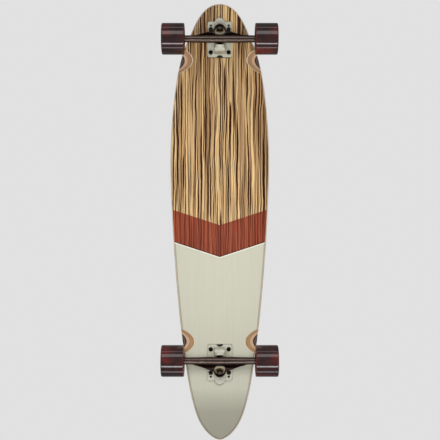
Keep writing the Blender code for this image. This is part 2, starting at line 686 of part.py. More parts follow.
def baseplate(name, parent, base, bolt_tools):
    """The cast baseplate: plate, tongue, bushing seat, pivot tower and their bores."""
    plate = keep(
        slab(name, riser_outline(), PLATE_THICKNESS, PALE_PAINT, PLATE_EDGE), parent, base
    )
    tongue = slab(name + "_tongue", tongue_outline(), TONGUE_THICKNESS, PALE_PAINT, TONGUE_EDGE)
    tongue_place = base @ Matrix.Translation((0, 0, -0.5 * MM))
    boolean(plate, hide_tool(tongue, parent, tongue_place), "UNION")
    upright = Matrix.Rotation(math.radians(90), 4, "X")
    tower = slab(name + "_tower", tower_outline(), TOWER_WIDTH, PALE_PAINT, TOWER_EDGE)
    tower_place = base @ Matrix.Translation((0, -TOWER_WIDTH / 2, 0)) @ upright
    boolean(plate, hide_tool(tower, parent, tower_place), "UNION")
    boss_end = PIVOT_CUP_DEPTH + PIVOT_BOSS_WALL
    mouth = BAR_RADIUS + PIVOT_MOUTH_TO_BAR - (PIVOT_PLACE - AXLE_PLACE).length
    lip = mouth - PIVOT_BOSS_RADIUS * math.tan(PIVOT_MOUTH_SLOPE)
    boss_profile = [
        (0, boss_end),
        (PIVOT_BOSS_RADIUS - 2.5 * MM, boss_end),
        (PIVOT_BOSS_RADIUS, boss_end - 2.5 * MM),
        (PIVOT_BOSS_RADIUS, lip - OVERLAP),
        (0, lip - OVERLAP),
    ]
    pivot = base @ PIVOT_FRAME
    boss = hide_tool(turned(name + "_pivot_boss", boss_profile, 20, PALE_PAINT), parent, pivot)
    slant = Matrix.Rotation(-PIVOT_MOUTH_SLOPE, 4, "Y")
    mouth_place = pivot @ Matrix.Translation((0, 0, mouth)) @ slant
    low = (-40 * MM, -20 * MM, -30 * MM)
    high = (40 * MM, 20 * MM, 0)
    boolean(boss, box_tool(name + "_mouth_trim", low, high, parent, mouth_place))
    boolean(plate, boss, "UNION")
    kingpin = base @ KINGPIN_FRAME
    spot_face = BOARDSIDE_WASHER_RADIUS + 2 * GAP
    boolean(
        plate,
        cylinder_tool(name + "_seat_cutter", spot_face, SEAT_AT, 12 * MM, parent, kingpin, 24),
    )
    bore = KINGPIN_RADIUS + BORE_CLEARANCE
    shaft = cylinder_tool(
        name + "_kingpin_cutter", bore, HEAD_AT - 2 * MM, SEAT_AT + MM, parent, kingpin
    )
    boolean(plate, shaft)
    pocket = KINGPIN_HEAD_FLATS / math.sqrt(3) + 2 * GAP
    deep = HEAD_AT - 25 * MM
    pocket_profile = [(0, HEAD_AT), (pocket, HEAD_AT), (pocket, deep), (0, deep)]
    head_room = turned(name + "_head_cutter", pocket_profile, 6, PALE_PAINT)
    boolean(plate, hide_tool(head_room, parent, kingpin @ HALF_FLAT))
    boolean(
        plate,
        cylinder_tool(
            name + "_cup_cutter", PIVOT_BORE, lip - 2 * OVERLAP, PIVOT_CUP_DEPTH + GAP, parent, pivot, 20
        ),
    )
    notch_radius = (NOTCH_WIDTH**2 / 4 + NOTCH_DEPTH**2) / (2 * NOTCH_DEPTH)
    notch_x = -PLATE_INBOARD + NOTCH_DEPTH - notch_radius
    notch = base @ Matrix.Translation((notch_x, 0, 0))
    boolean(
        plate,
        cylinder_tool(name + "_notch_cutter", notch_radius, -30 * MM, 5 * MM, parent, notch, 24),
    )
    for side in (-1, 1):
        middle = side * BOLT_SPAN_WIDE / 2
        low = (-BOLT_SPAN_LONG / 2, middle - CHANNEL_WIDTH / 2, -PLATE_THICKNESS - 5 * MM)
        high = (BOLT_SPAN_LONG / 2, middle + CHANNEL_WIDTH / 2, -PLATE_THICKNESS + CHANNEL_DEPTH)
        where = "left" if side > 0 else "right"
        boolean(plate, box_tool(f"{name}_channel_cutter_{where}", low, high, parent, base))
    for tool in bolt_tools:
        boolean(plate, tool)
    for index, side in enumerate((1, -1)):
        x = BOLT_SPAN_OLD - BOLT_SPAN_LONG / 2
        place = base @ Matrix.Translation((x, side * BOLT_SPAN_WIDE / 2, 0))
        radius = BOLT_RADIUS + BORE_CLEARANCE
        tool = cylinder_tool(
            f"{name}_spare_hole_{index + 1}", radius, -9 * MM, MM, parent, place, 12
        )
        boolean(plate, tool)
    return plate


def riser_pad(name, parent, base, bolt_tools):
    """The rubber pad between deck and baseplate."""
    place = base @ Matrix.Translation((0, 0, RISER_THICKNESS + GAP))
    pad = keep(slab(name, riser_outline(), RISER_THICKNESS, RUBBER), parent, place)
    for tool in bolt_tools:
        boolean(pad, tool)
    return pad


def pivot_cup(name, parent, base):
    """The plastic cup that the hanger's pivot ball turns in."""
    hollow = PIVOT_BALL + GAP
    profile = [
        (0, PIVOT_CUP_DEPTH),
        (PIVOT_CUP_RADIUS, PIVOT_CUP_DEPTH),
        (PIVOT_CUP_RADIUS, 0),
        (hollow, 0),
    ]
    for angle in (22.5, 45, 67.5):
        turn = math.radians(angle)
        profile.append((hollow * math.cos(turn), hollow * math.sin(turn)))
    profile.append((0, hollow))
    return keep(turned(name, profile, 16, ACETAL), parent, base @ PIVOT_FRAME)


def kingpin(name, parent, base):
    """The kingpin, from its hexagonal head in the baseplate to its end past the nut."""
    end = KINGPIN_NUT_AT + KINGPIN_NUT_HEIGHT + KINGPIN_TAIL
    profile = [
        (0, end),
        (KINGPIN_RADIUS - 0.8 * MM, end),
        (KINGPIN_RADIUS, end - 0.8 * MM),
        (KINGPIN_RADIUS, HEAD_AT - GAP - OVERLAP),
        (0, HEAD_AT - GAP - OVERLAP),
    ]
    place = base @ KINGPIN_FRAME
    pin = keep(turned(name, profile, 16, STEEL), parent, place)
    head_profile = hex_profile(KINGPIN_HEAD_FLATS, KINGPIN_HEAD_HEIGHT, 1 * MM, HEAD_END)
    head = turned(name + "_head", head_profile, 6, STEEL)
    boolean(pin, hide_tool(head, parent, place @ HALF_FLAT), "UNION")
    return pin


def hex_nut(name, flats, height, bore, material, parent, place):
    """A hexagonal lock nut with its bore."""
    nut = keep(turned(name, hex_profile(flats, height, 1.2 * MM), 6, material), parent, place)
    boolean(nut, cylinder_tool(name + "_bore", bore, -MM, height + MM, parent, place, 12))
    return nut


def washer(name, radius, bore, thickness, steps, material, parent, place):
    """A flat ring."""
    profile = [(radius, thickness), (radius, 0), (bore, 0), (bore, thickness)]
    return keep(turned(name, profile, steps, material, ring=True), parent, place)


def bushing(name, profile, parent, place):
    """A urethane bushing round the kingpin."""
    bore = KINGPIN_RADIUS + BORE_CLEARANCE
    loop = profile + [(bore, profile[-1][1]), (bore, profile[0][1])]
    return keep(turned(name, loop, 20, CREAM_URETHANE, ring=True), parent, place)


def kingpin_stack(name, parent, base):
    """Bushings, washers and nut along the kingpin."""
    bore = KINGPIN_RADIUS + BORE_CLEARANCE
    place = base @ KINGPIN_FRAME

    def along(distance):
        return place @ Matrix.Translation((0, 0, distance))

    barrel = BOARDSIDE_BUSHING_HEIGHT
    waist = BUSHING_RADIUS - BUSHING_EASE
    bushing(
        f"{name}_bushing_boardside",
        [
            (waist, barrel),
            (BUSHING_RADIUS, barrel - 1.5 * MM),
            (BUSHING_RADIUS, 1.5 * MM),
            (waist, 0),
        ],
        parent,
        along(-RING_WEB_HALF - GAP - barrel),
    )
    tall = ROADSIDE_BUSHING_HEIGHT
    bushing(
        f"{name}_bushing_roadside",
        [
            (waist, tall),
            (BUSHING_RADIUS, tall - 1 * MM),
            (BUSHING_RADIUS, 1 * MM),
            (waist, 0),
        ],
        parent,
        along(RING_WEB_HALF + GAP),
    )
    washer(
        f"{name}_washer_boardside",
        BOARDSIDE_WASHER_RADIUS,
        bore,
        WASHER_THICKNESS,
        20,
        STEEL,
        parent,
        along(BOARDSIDE_WASHER_AT - WASHER_THICKNESS),
    )
    cup_inside = CUP_WASHER_RADIUS - CUP_WASHER_WALL
    cup_profile = [
        (cup_inside, CUP_WASHER_RIM),
        (CUP_WASHER_RADIUS, CUP_WASHER_RIM),
        (CUP_WASHER_RADIUS, 1 * MM),
        (CUP_WASHER_RADIUS - 1 * MM, 0),
        (bore, 0),
        (bore, WASHER_THICKNESS),
        (cup_inside, WASHER_THICKNESS),
    ]
    cup = turned(f"{name}_washer_roadside", cup_profile, 20, STEEL, ring=True)
    keep(cup, parent, along(ROADSIDE_WASHER_AT))
    hex_nut(
        f"{name}_kingpin_nut",
        KINGPIN_HEAD_FLATS,
        KINGPIN_NUT_HEIGHT,
        bore,
        BLACK_STEEL,
        parent,
        along(KINGPIN_NUT_AT),
    )


def bell(start, leaving, arriving, end, steps):
    """A plan symmetrical about X, widening along a curve from (inboard, left) to its end."""
    curve = interpolate_bezier(Vector(start), Vector(leaving), Vector(arriving), Vector(end), steps)
    left = [(point.x, point.y) for point in curve]
    return left + [(x, -y) for x, y in reversed(left)]


def yoke_outline():
    """Plan of the hanger's bell-shaped yoke in the bushing ring's plane."""
    lip = -RING_RADIUS - YOKE_LIP
    corner = lip + 0.3 * MM
    return bell(*YOKE_FLANK, 8) + [(corner, -6 * MM), (lip, 0), (corner, 6 * MM)]


def arm_outline(span):
    """Plan of the web that joins the ring to the bar."""
    return bell(*ARM_FLANK, (span, ARM_TIP), 7)


def hanger(name, parent, base):
    """The cast hanger: bar, bushing ring with its bell-shaped yoke, web and pivot nose."""
    half = HANGER_WIDTH / 2
    bar_profile = [
        (0, half),
        (BAR_END_RADIUS - 0.6 * MM, half),
        (BAR_END_RADIUS, half - 0.8 * MM),
        (BAR_END_RADIUS, half - BAR_END),
        (BAR_RADIUS, BAR_MIDDLE / 2),
    ]
    bar_profile += [(radius, -height) for radius, height in reversed(bar_profile)]
    axle = base @ AXLE_FRAME
    body = keep(turned(name, bar_profile, 20, BRONZE), parent, axle)

    place = base @ KINGPIN_FRAME
    roadside = place @ Matrix.Translation((0, 0, RING_HALF))
    yoke = slab(name + "_yoke", yoke_outline(), YOKE_THICKNESS, BRONZE, CAST_EDGE)
    boolean(body, hide_tool(yoke, parent, roadside), "UNION")
    ring_profile = [
        (0, RING_HALF),
        (RING_RADIUS - 1 * MM, RING_HALF),
        (RING_RADIUS, RING_HALF - 1 * MM),
        (RING_RADIUS, 1 * MM - RING_HALF),
        (RING_RADIUS - 1 * MM, -RING_HALF),
        (0, -RING_HALF),
    ]
    ring = turned(name + "_ring", ring_profile, 24, BRONZE)
    boolean(body, hide_tool(ring, parent, place), "UNION")

    hood_profile = [
        (0, 2 * RING_RADIUS),
        (RING_RADIUS, 2 * RING_RADIUS),
        (RING_RADIUS, 0),
        (0, 0),
    ]
    hood = hide_tool(turned(name + "_hood", hood_profile, 24, BRONZE), parent, place)
    rim_height = AXLE_PLACE.z + HOOD_ABOVE_AXLE
    low = (-60 * MM, -20 * MM, rim_height - 60 * MM)
    high = (60 * MM, 20 * MM, rim_height)
    boolean(hood, box_tool(name + "_hood_trim", low, high, parent, base))
    boolean(body, hood, "UNION")

    to_bar = AXLE_PLACE - YOKE_PLACE
    along = to_bar.normalized()
    across = Vector((0, 1, 0))
    web_frame = base @ frame(YOKE_PLACE, along, across, along.cross(across))
    web = slab(name + "_web", arm_outline(to_bar.length), ARM_THICKNESS, BRONZE, CAST_EDGE)
    lift = Matrix.Translation((0, 0, ARM_THICKNESS / 2))
    boolean(body, hide_tool(web, parent, web_frame @ lift), "UNION")

    back = 0.6 * (PIVOT_PLACE - AXLE_PLACE).length
    nose = [(0, PIVOT_BALL)]
    for angle in (60, 30, 0):
        turn = math.radians(angle)
        nose.append((PIVOT_BALL * math.cos(turn), PIVOT_BALL * math.sin(turn)))
    nose += [(PIVOT_BALL - 0.4 * MM, -2 * MM), (PIVOT_BALL + 2 * MM, -back), (0, -back)]
    pivot = base @ PIVOT_FRAME
    boolean(body, hide_tool(turned(name + "_nose", nose, 16, BRONZE), parent, pivot), "UNION")

    seat_profile = [
        (0, 3 * RING_RADIUS),
        (RING_RADIUS - HOOD_WALL, 3 * RING_RADIUS),
        (RING_RADIUS - HOOD_WALL, RING_HALF + 2.2 * MM),
        (BUSHING_SEAT_RADIUS, RING_HALF + 1.4 * MM),
        (BUSHING_SEAT_RADIUS, RING_WEB_HALF),
        (RING_BORE, RING_WEB_HALF),
        (RING_BORE, -RING_WEB_HALF),
        (BUSHING_SEAT_RADIUS, -RING_WEB_HALF),
        (BUSHING_SEAT_RADIUS, -20 * MM),
        (0, -20 * MM),
    ]
    seats = hide_tool(turned(name + "_seat_cutter", seat_profile, 24, BRONZE), parent, place)
    boolean(body, seats)
    bore = cylinder_tool(name + "_axle_bore", AXLE_BORE, -half - MM, half + MM, parent, axle, 16)
    boolean(body, bore)
    return body


def axle_rod(name, parent, base):
    """The steel axle through the hanger."""
    half = AXLE_LENGTH / 2
    profile = [
        (0, half),
        (AXLE_RADIUS - 0.6 * MM, half),
        (AXLE_RADIUS, half - 0.6 * MM),
        (AXLE_RADIUS, -half + 0.6 * MM),
        (AXLE_RADIUS - 0.6 * MM, -half),
        (0, -half),
    ]
    return keep(turned(name, profile, 16, STEEL), parent, base @ AXLE_FRAME)


# Wheels


def wheel_profile():
    """Section of a wheel: tread, lips, hollowed faces, bearing seats and core."""
    half = WHEEL_WIDTH / 2
    tread = WHEEL_RADIUS / math.cos(math.pi / WHEEL_SIDES)
    seat_end = BEARING_STACK / 2 + GAP
    shoulder = SPACER_LENGTH / 2 - GAP
    seat = BEARING_SEAT_RADIUS
    core = SPACER_RADIUS + SPACER_CLEARANCE
    outer = [
        (WHEEL_FACE_RADIUS, half),
        (tread - WHEEL_LIP, half),
        (tread, half - WHEEL_LIP),
    ]
    inner = [
        (core, shoulder),
        (seat, shoulder),
        (seat, seat_end),
        (WHEEL_CORE_RADIUS, seat_end),
    ]
    profile = outer + [(radius, -height) for radius, height in reversed(outer)]
    profile += [(radius, -height) for radius, height in reversed(inner)]
    return profile + inner


def wheel_station(name, steer, hub):
    """One wheel with its bearings, spacer, speed rings and axle nut. Hub's Z points outboard."""
    bore = AXLE_BORE

    def along(distance):
        return hub @ Matrix.Translation((0, 0, distance))

    turn = Matrix.Rotation(math.pi / WHEEL_SIDES, 4, "Z")
    spin = empty(f"{name}_spin", steer, along(WHEEL_CENTRE))
    wheel = turned(f"{name}_wheel", wheel_profile(), WHEEL_SIDES, RED_URETHANE, ring=True)
    keep(wheel, spin, along(WHEEL_CENTRE) @ turn)
    bearing = [
        (BEARING_RADIUS, BEARING_WIDTH / 2),
        (BEARING_RADIUS, -BEARING_WIDTH / 2),
        (bore, -BEARING_WIDTH / 2),
        (bore, BEARING_WIDTH / 2),
    ]
    offset = (SPACER_LENGTH + BEARING_WIDTH) / 2 + GAP
    for where, shift in (("inboard", -offset), ("outboard", offset)):
        ring = turned(f"{name}_bearing_{where}", bearing, 14, STEEL, ring=True)
        keep(ring, spin, along(WHEEL_CENTRE + shift))
    washer(
        f"{name}_bearing_spacer",
        SPACER_RADIUS,
        bore,
        SPACER_LENGTH,
        10,
        STEEL,
        steer,
        along(WHEEL_CENTRE - SPACER_LENGTH / 2),
    )
    ring_places = (
        ("inboard", HANGER_WIDTH / 2 + GAP),
        ("outboard", INBOARD_BEARING_AT + BEARING_STACK + GAP),
    )
    for where, distance in ring_places:
        washer(
            f"{name}_speed_ring_{where}",
            SPEED_RING_RADIUS,
            bore,
            SPEED_RING_THICKNESS,
            10,
            STEEL,
            steer,
            along(distance),
        )
    hex_nut(
        f"{name}_axle_nut",
        AXLE_NUT_FLATS,
        AXLE_NUT_HEIGHT,
        bore,
        BLACK_STEEL,
        steer,
        along(AXLE_NUT_AT),
    )


def truck(name, bolts_x, outboard, deck_layers):
    """One truck with its wheels. It cuts its bolt holes through the deck's layers."""
    turn = Matrix.Rotation(0 if outboard > 0 else math.pi, 4, "Z")
    base = Matrix.Translation((bolts_x, 0, BASE_HEIGHT)) @ turn
    root = empty(f"{name}_truck", None, base)
    steer_axes = frame(
        YOKE_PLACE, ALONG_STEER_AXIS, ALONG_KINGPIN.cross(ALONG_STEER_AXIS), ALONG_KINGPIN
    )
    steer = empty(f"{name}_steer", root, base @ steer_axes)
    bolt_tools = []
    for index, (x, y) in enumerate(bolt_pattern(BOLT_SPAN_LONG)):
        place = base @ Matrix.Translation((x, y, 0))
        tool = bolt_clearance(f"{name}_bolt_hole_{index + 1}", root, place)
        bolt_tools.append(tool)
        for layer in deck_layers:
            boolean(layer, tool)
        mount_bolt(f"{name}_mount_bolt_{index + 1}", root, place)
    riser_pad(f"{name}_riser_pad", root, base, bolt_tools)
    baseplate(f"{name}_baseplate", root, base, bolt_tools)
    pivot_cup(f"{name}_pivot_cup", root, base)
    kingpin(f"{name}_kingpin", root, base)
    kingpin_stack(name, root, base)
    hanger(f"{name}_hanger", steer, base)
    axle_rod(f"{name}_axle", steer, base)
    for side_name, side in (("left", 1), ("right", -1)):
        toward = side * outboard
        hub_axes = frame(
            AXLE_PLACE, Vector((1, 0, 0)), Vector((0, 0, -toward)), Vector((0, toward, 0))
        )
        wheel_station(f"{name}_{side_name}", steer, base @ hub_axes)


def build():
    """The whole board."""
    truck_places = {
        "front": (DECK_LENGTH / 2 - NOSE_TO_BOLTS, 1),
        "rear": (-DECK_LENGTH / 2 + TAIL_TO_BOLTS, -1),
    }
    deck = board_layer("deck", rail_profile(), DECK_UNDERSIDE, 8, MAPLE)
    grip_rail = [(GRIP_INSET, GAP), (GRIP_INSET, GAP + GRIP_THICKNESS)]
    grip = board_layer("grip_tape", grip_rail, DECK_TOP, 8, GRIT)
    cut_wells(deck, truck_places)
    for name, (bolts_x, outboard) in truck_places.items():
        truck(name, bolts_x, outboard, (deck, grip))


build()
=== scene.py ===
"""Looks of a pintail longboard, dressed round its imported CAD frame.

The scene is in metres, +Z up, with the nose along +X and the left side along +Y. The board stands
on its wheels at Z = 0, and the photograph looks straight up at its underside, nose at the top.
Sizes of the pieces are in millimetres, and the mesh tools turn them into metres.
"""

import json
import logging
import math
from collections.abc import Callable, Sequence
from dataclasses import dataclass
from enum import Enum

import bmesh
import bpy
import numpy as np
from mathutils import Matrix, Vector
from mathutils.geometry import interpolate_bezier


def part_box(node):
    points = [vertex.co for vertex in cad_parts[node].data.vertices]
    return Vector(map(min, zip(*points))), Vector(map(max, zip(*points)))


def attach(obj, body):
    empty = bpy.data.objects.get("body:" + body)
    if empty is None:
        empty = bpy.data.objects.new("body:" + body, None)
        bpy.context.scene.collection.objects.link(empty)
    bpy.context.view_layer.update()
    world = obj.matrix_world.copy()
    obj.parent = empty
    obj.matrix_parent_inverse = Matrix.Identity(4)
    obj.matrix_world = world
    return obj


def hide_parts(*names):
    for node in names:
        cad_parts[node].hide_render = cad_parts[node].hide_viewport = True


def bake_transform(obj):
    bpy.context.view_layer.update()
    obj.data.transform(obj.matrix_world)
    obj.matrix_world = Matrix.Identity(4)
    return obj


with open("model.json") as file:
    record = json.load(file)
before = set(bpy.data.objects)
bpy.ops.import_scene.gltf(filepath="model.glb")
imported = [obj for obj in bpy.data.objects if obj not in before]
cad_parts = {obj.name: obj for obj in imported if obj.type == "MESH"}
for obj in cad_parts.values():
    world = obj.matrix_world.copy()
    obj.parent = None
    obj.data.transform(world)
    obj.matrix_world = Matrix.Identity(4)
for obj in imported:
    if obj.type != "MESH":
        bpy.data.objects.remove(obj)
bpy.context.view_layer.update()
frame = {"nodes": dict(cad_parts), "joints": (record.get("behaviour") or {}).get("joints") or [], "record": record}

log = logging.getLogger("longboard")

# One millimetre in metres, and then, in millimetres, the clearance between neighbouring parts, how
# far a tool goes past what it cuts, and two sizes that pieces share with their finishes.
MM = 0.001
GAP = 0.3
CUT_THROUGH = 5
DECK_THICKNESS = 11.5
WHEEL_WIDTH = 51.0

# The mesh steps of a rounded corner, the turn in degrees past which an edge stays sharp, the rows
# in each turn of a thread, and half a thread's depth as a share of its pitch.
CORNER_STEPS = 4
SHARP_ANGLE = 35.0
THREAD_ROWS = 8
THREAD_DEPTH = 0.27

Colour = tuple[float, float, float]
Corner = tuple[float, ...]
Relief = Callable[[float, float, float], float]
Band = Callable[[float, float], int]
Socket = bpy.types.NodeSocket
Value = Socket | float | Sequence[float]


class End(Enum):
    """Which truck: the one under the nose or the one under the tail."""

    FRONT = "front"
    REAR = "rear"


class Side(Enum):
    """Which side of the board a wheel is on, and its direction along Y."""

    LEFT = 1
    RIGHT = -1


class Face(Enum):
    """Which side of a wheel a part sits on, and its direction along the axle."""

    INBOARD = -1
    OUTBOARD = 1


RECORD = frame["record"]
BODY_OF = {node: body for body, nodes in RECORD["behaviour"]["bodies"].items() for node in nodes}
JOINTS = {joint["name"]: joint for joint in frame["joints"]}


# Mesh tools


def shown(name: str, mesh: bpy.types.Mesh) -> bpy.types.Object:
    """Puts a mesh into the scene.

    Args:
        name: The new object's name.
        mesh: Its mesh, in metres.

    Returns:
        The object.
    """
    piece = bpy.data.objects.new(name, mesh)
    bpy.context.scene.collection.objects.link(piece)
    return piece


def from_shape(name: str, shape: bmesh.types.BMesh) -> bpy.types.Object:
    """Turns a finished bmesh into a smooth-shaded object.

    Args:
        name: The new object's name.
        shape: The bmesh, which is freed.

    Returns:
        The object.
    """
    bmesh.ops.recalc_face_normals(shape, faces=shape.faces)
    mesh = bpy.data.meshes.new(name)
    shape.to_mesh(mesh)
    shape.free()
    mesh.shade_smooth()
    mesh.set_sharp_from_angle(angle=math.radians(SHARP_ANGLE))
    return shown(name, mesh)


def settle(piece: bpy.types.Object) -> bpy.types.Object:
    """Applies every modifier of a piece.

    Args:
        piece: The piece.

    Returns:
        The same piece with its final mesh.
    """
    bpy.context.view_layer.update()
    graph = bpy.context.evaluated_depsgraph_get()
    mesh = bpy.data.meshes.new_from_object(piece.evaluated_get(graph))
    piece.modifiers.clear()
    piece.data = mesh
    return piece


def cut(piece: bpy.types.Object, tool: bpy.types.Object) -> bpy.types.Object:
    """Cuts a tool out of a piece and throws the tool away.

    Args:
        piece: What is cut.
        tool: The shape of what is taken away.

    Returns:
        The piece.
    """
    modifier = piece.modifiers.new("Cut", "BOOLEAN")
    modifier.object = tool
    modifier.solver = "EXACT"
    settle(piece)
    bpy.data.objects.remove(tool, do_unlink=True)
    return piece


def softened(section: Sequence[Corner], closed: bool) -> list[tuple[float, float]]:
    """Rounds the corners of a section.

    Args:
        section: Corners as (radius, height) or (radius, height, rounding), in millimetres.
        closed: Whether the last corner joins the first.

    Returns:
        The section's points as (radius, height).
    """
    points = []
    count = len(section)
    for index, corner in enumerate(section):
        here = Vector(corner[:2])
        rounding = corner[2] if len(corner) > 2 else 0.0
        at_end = index in (0, count - 1) and not closed
        if rounding <= 0 or at_end:
            points.append((here.x, here.y))
            continue
        before = Vector(section[index - 1][:2]) - here
        after = Vector(section[(index + 1) % count][:2]) - here
        start = here + before.normalized() * min(rounding, 0.49 * before.length)
        end = here + after.normalized() * min(rounding, 0.49 * after.length)
        for step in range(CORNER_STEPS + 1):
            share = step / CORNER_STEPS
            point = start.lerp(here, share).lerp(here.lerp(end, share), share)
            points.append((point.x, point.y))
    return points


def lathe(
    name: str,
    section: Sequence[Corner],
    steps: int = 64,
    closed: bool = False,
    relief: Relief | None = None,
    band: Band | None = None,
) -> bpy.types.Object:
    """Spins a section round Z.

    Args:
        name: The new object's name.
        section: Corners as (radius, height) or (radius, height, rounding), in millimetres.
        steps: How many steps go round.
        closed: Whether the section is a loop, as for a ring.
        relief: Gives the true radius for an angle, a section radius and a height.
        band: Gives a face's material slot from its radius and height.

    Returns:
        The turned piece.
    """
    shape = bmesh.new()
    rings = []
    for radius, height in softened(section, closed):
        ring = []
        for step in range(steps if radius > 0.001 else 1):
            angle = math.tau * step / steps
            true = relief(angle, radius, height) if relief else radius
            place = Vector((true * math.cos(angle), true * math.sin(angle), height))
            ring.append(shape.verts.new(place * MM))
        rings.append(ring)
    pairs = list(zip(rings, rings[1:]))
    if closed:
        pairs.append((rings[-1], rings[0]))
    for upper, lower in pairs:
        for step in range(steps):
            after = step + 1
            corners = [
                upper[step % len(upper)],
                lower[step % len(lower)],
                lower[after % len(lower)],
                upper[after % len(upper)],
            ]
            unique = list(dict.fromkeys(corners))
            if len(unique) < 3:
                continue
            face = shape.faces.new(unique)
            if band:
                middle = face.calc_center_median() / MM
                face.material_index = band(math.hypot(middle.x, middle.y), middle.z)
    return from_shape(name, shape)


def at_bolts(pattern: bpy.types.Object, trucks: Sequence["Truck"]) -> bpy.types.Object:
    """Copies a tool to every mounting bolt and throws the pattern away.

    Args:
        pattern: The tool, round Z.
        trucks: The trucks whose bolts it is for.

    Returns:
        All copies as one tool.
    """
    shape = bmesh.new()
    for truck in trucks:
        for place in truck.bolt_places():
            moved = pattern.data.copy()
            moved.transform(Matrix.Translation((place.x, place.y, 0)))
            shape.from_mesh(moved)
    bpy.data.objects.remove(pattern, do_unlink=True)
    return from_shape("bolt_tools", shape)


def hexagon(flats: float) -> Relief:
    """A relief that holds a turned piece inside a hexagon.

    Args:
        flats: Size across the flats, in millimetres.

    Returns:
        The relief.
    """
    sector = math.radians(60)

    def relief(angle: float, radius: float, height: float) -> float:
        """The smaller of the section's radius and the hexagon's."""
        return min(radius, flats / 2 / math.cos(angle % sector - sector / 2))

    return relief


def screw_thread(radius: float, low: float, high: float, pitch: float) -> Relief:
    """A relief that cuts a thread into a turned rod.

    Args:
        radius: The rod's radius, in millimetres.
        low: Where the thread starts.
        high: Where it ends.
        pitch: Rise for each turn.

    Returns:
        The relief.
    """

    def relief(angle: float, section_radius: float, height: float) -> float:
        """The section's radius, less the groove where the thread runs.

        Args:
            angle: Angle round the rod, in radians.
            section_radius: The section's radius there.
            height: The place along the rod.

        Returns:
            The true radius.
        """
        if abs(section_radius - radius) > 0.01 or not low <= height <= high:
            return section_radius
        phase = math.tau * height / pitch - angle
        return radius - THREAD_DEPTH * pitch * (1 - math.cos(phase))

    return relief


def thread_rows(radius: float, low: float, high: float, pitch: float) -> list[Corner]:
    """Section points close enough together, from high to low, to show a thread."""
    rows = math.ceil((high - low) / pitch * THREAD_ROWS)
    return [(radius, high - (high - low) * row / rows) for row in range(rows + 1)]


def casting(
    name: str,
    node: str,
    voxel: float,
    passes: int,
    keep: float,
    ribs: Sequence[Sequence[Vector]] = (),
) -> bpy.types.Object:
    """The skin of a cast piece: its CAD solid with edges and joins rounded as a mould leaves them.

    Args:
        name: The new object's name.
        node: The CAD node that gives the shape.
        voxel: Size of the skin's mesh, in millimetres.
        passes: How often the skin is smoothed, which sets the size of the fillets.
        keep: Share of the skin's faces that stay.
        ribs: The corners of ribs that are cast on, in metres.

    Returns:
        The piece.
    """
    shape = bmesh.new()
    shape.from_mesh(frame["nodes"][node].data)
    bmesh.ops.remove_doubles(shape, verts=shape.verts, dist=0.001 * MM)
    for corners in ribs:
        points = [shape.verts.new(corner) for corner in corners]
        bmesh.ops.convex_hull(shape, input=points)
    piece = from_shape(name, shape)
    skin = piece.modifiers.new("Skin", "REMESH")
    skin.mode = "VOXEL"
    skin.voxel_size = voxel * MM
    fillets = piece.modifiers.new("Fillets", "SMOOTH")
    fillets.factor = 0.5
    fillets.iterations = passes
    fewer = piece.modifiers.new("Fewer", "DECIMATE")
    fewer.ratio = keep
    settle(piece)
    piece.data.shade_smooth()
    return piece


def fit(piece: bpy.types.Object, node: str, *finishes: "Finish", rides: bool = True) -> bpy.types.Object:
    """Dresses a piece and puts it on its CAD body, in place of its CAD node.

    Args:
        piece: The piece, in place.
        node: The CAD node that it stands for.
        finishes: The finish of each of its material slots.
        rides: Whether it is put on its CAD body, to move with it.

    Returns:
        The piece.
    """
    piece.data.materials.clear()
    for finish in finishes:
        piece.data.materials.append(finish.material())
    if rides:
        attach(piece, BODY_OF[node])
    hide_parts(node)
    log.info("%s: %d faces, %s", piece.name, len(piece.data.polygons), finishes[0].name)
    return piece


# Shader tools


def shade(red: int, green: int, blue: int) -> Colour:
    """The linear colour of a shade that is given as it looks on a screen.

    Args:
        red: Its red, from 0 to 255.
        green: Its green.
        blue: Its blue.

    Returns:
        The colour, each part from 0 to 1.
    """

    def linear(value: int) -> float:
        """One channel made linear."""
        share = value / 255
        return share / 12.92 if share <= 0.04045 else ((share + 0.055) / 1.055) ** 2.4

    return linear(red), linear(green), linear(blue)


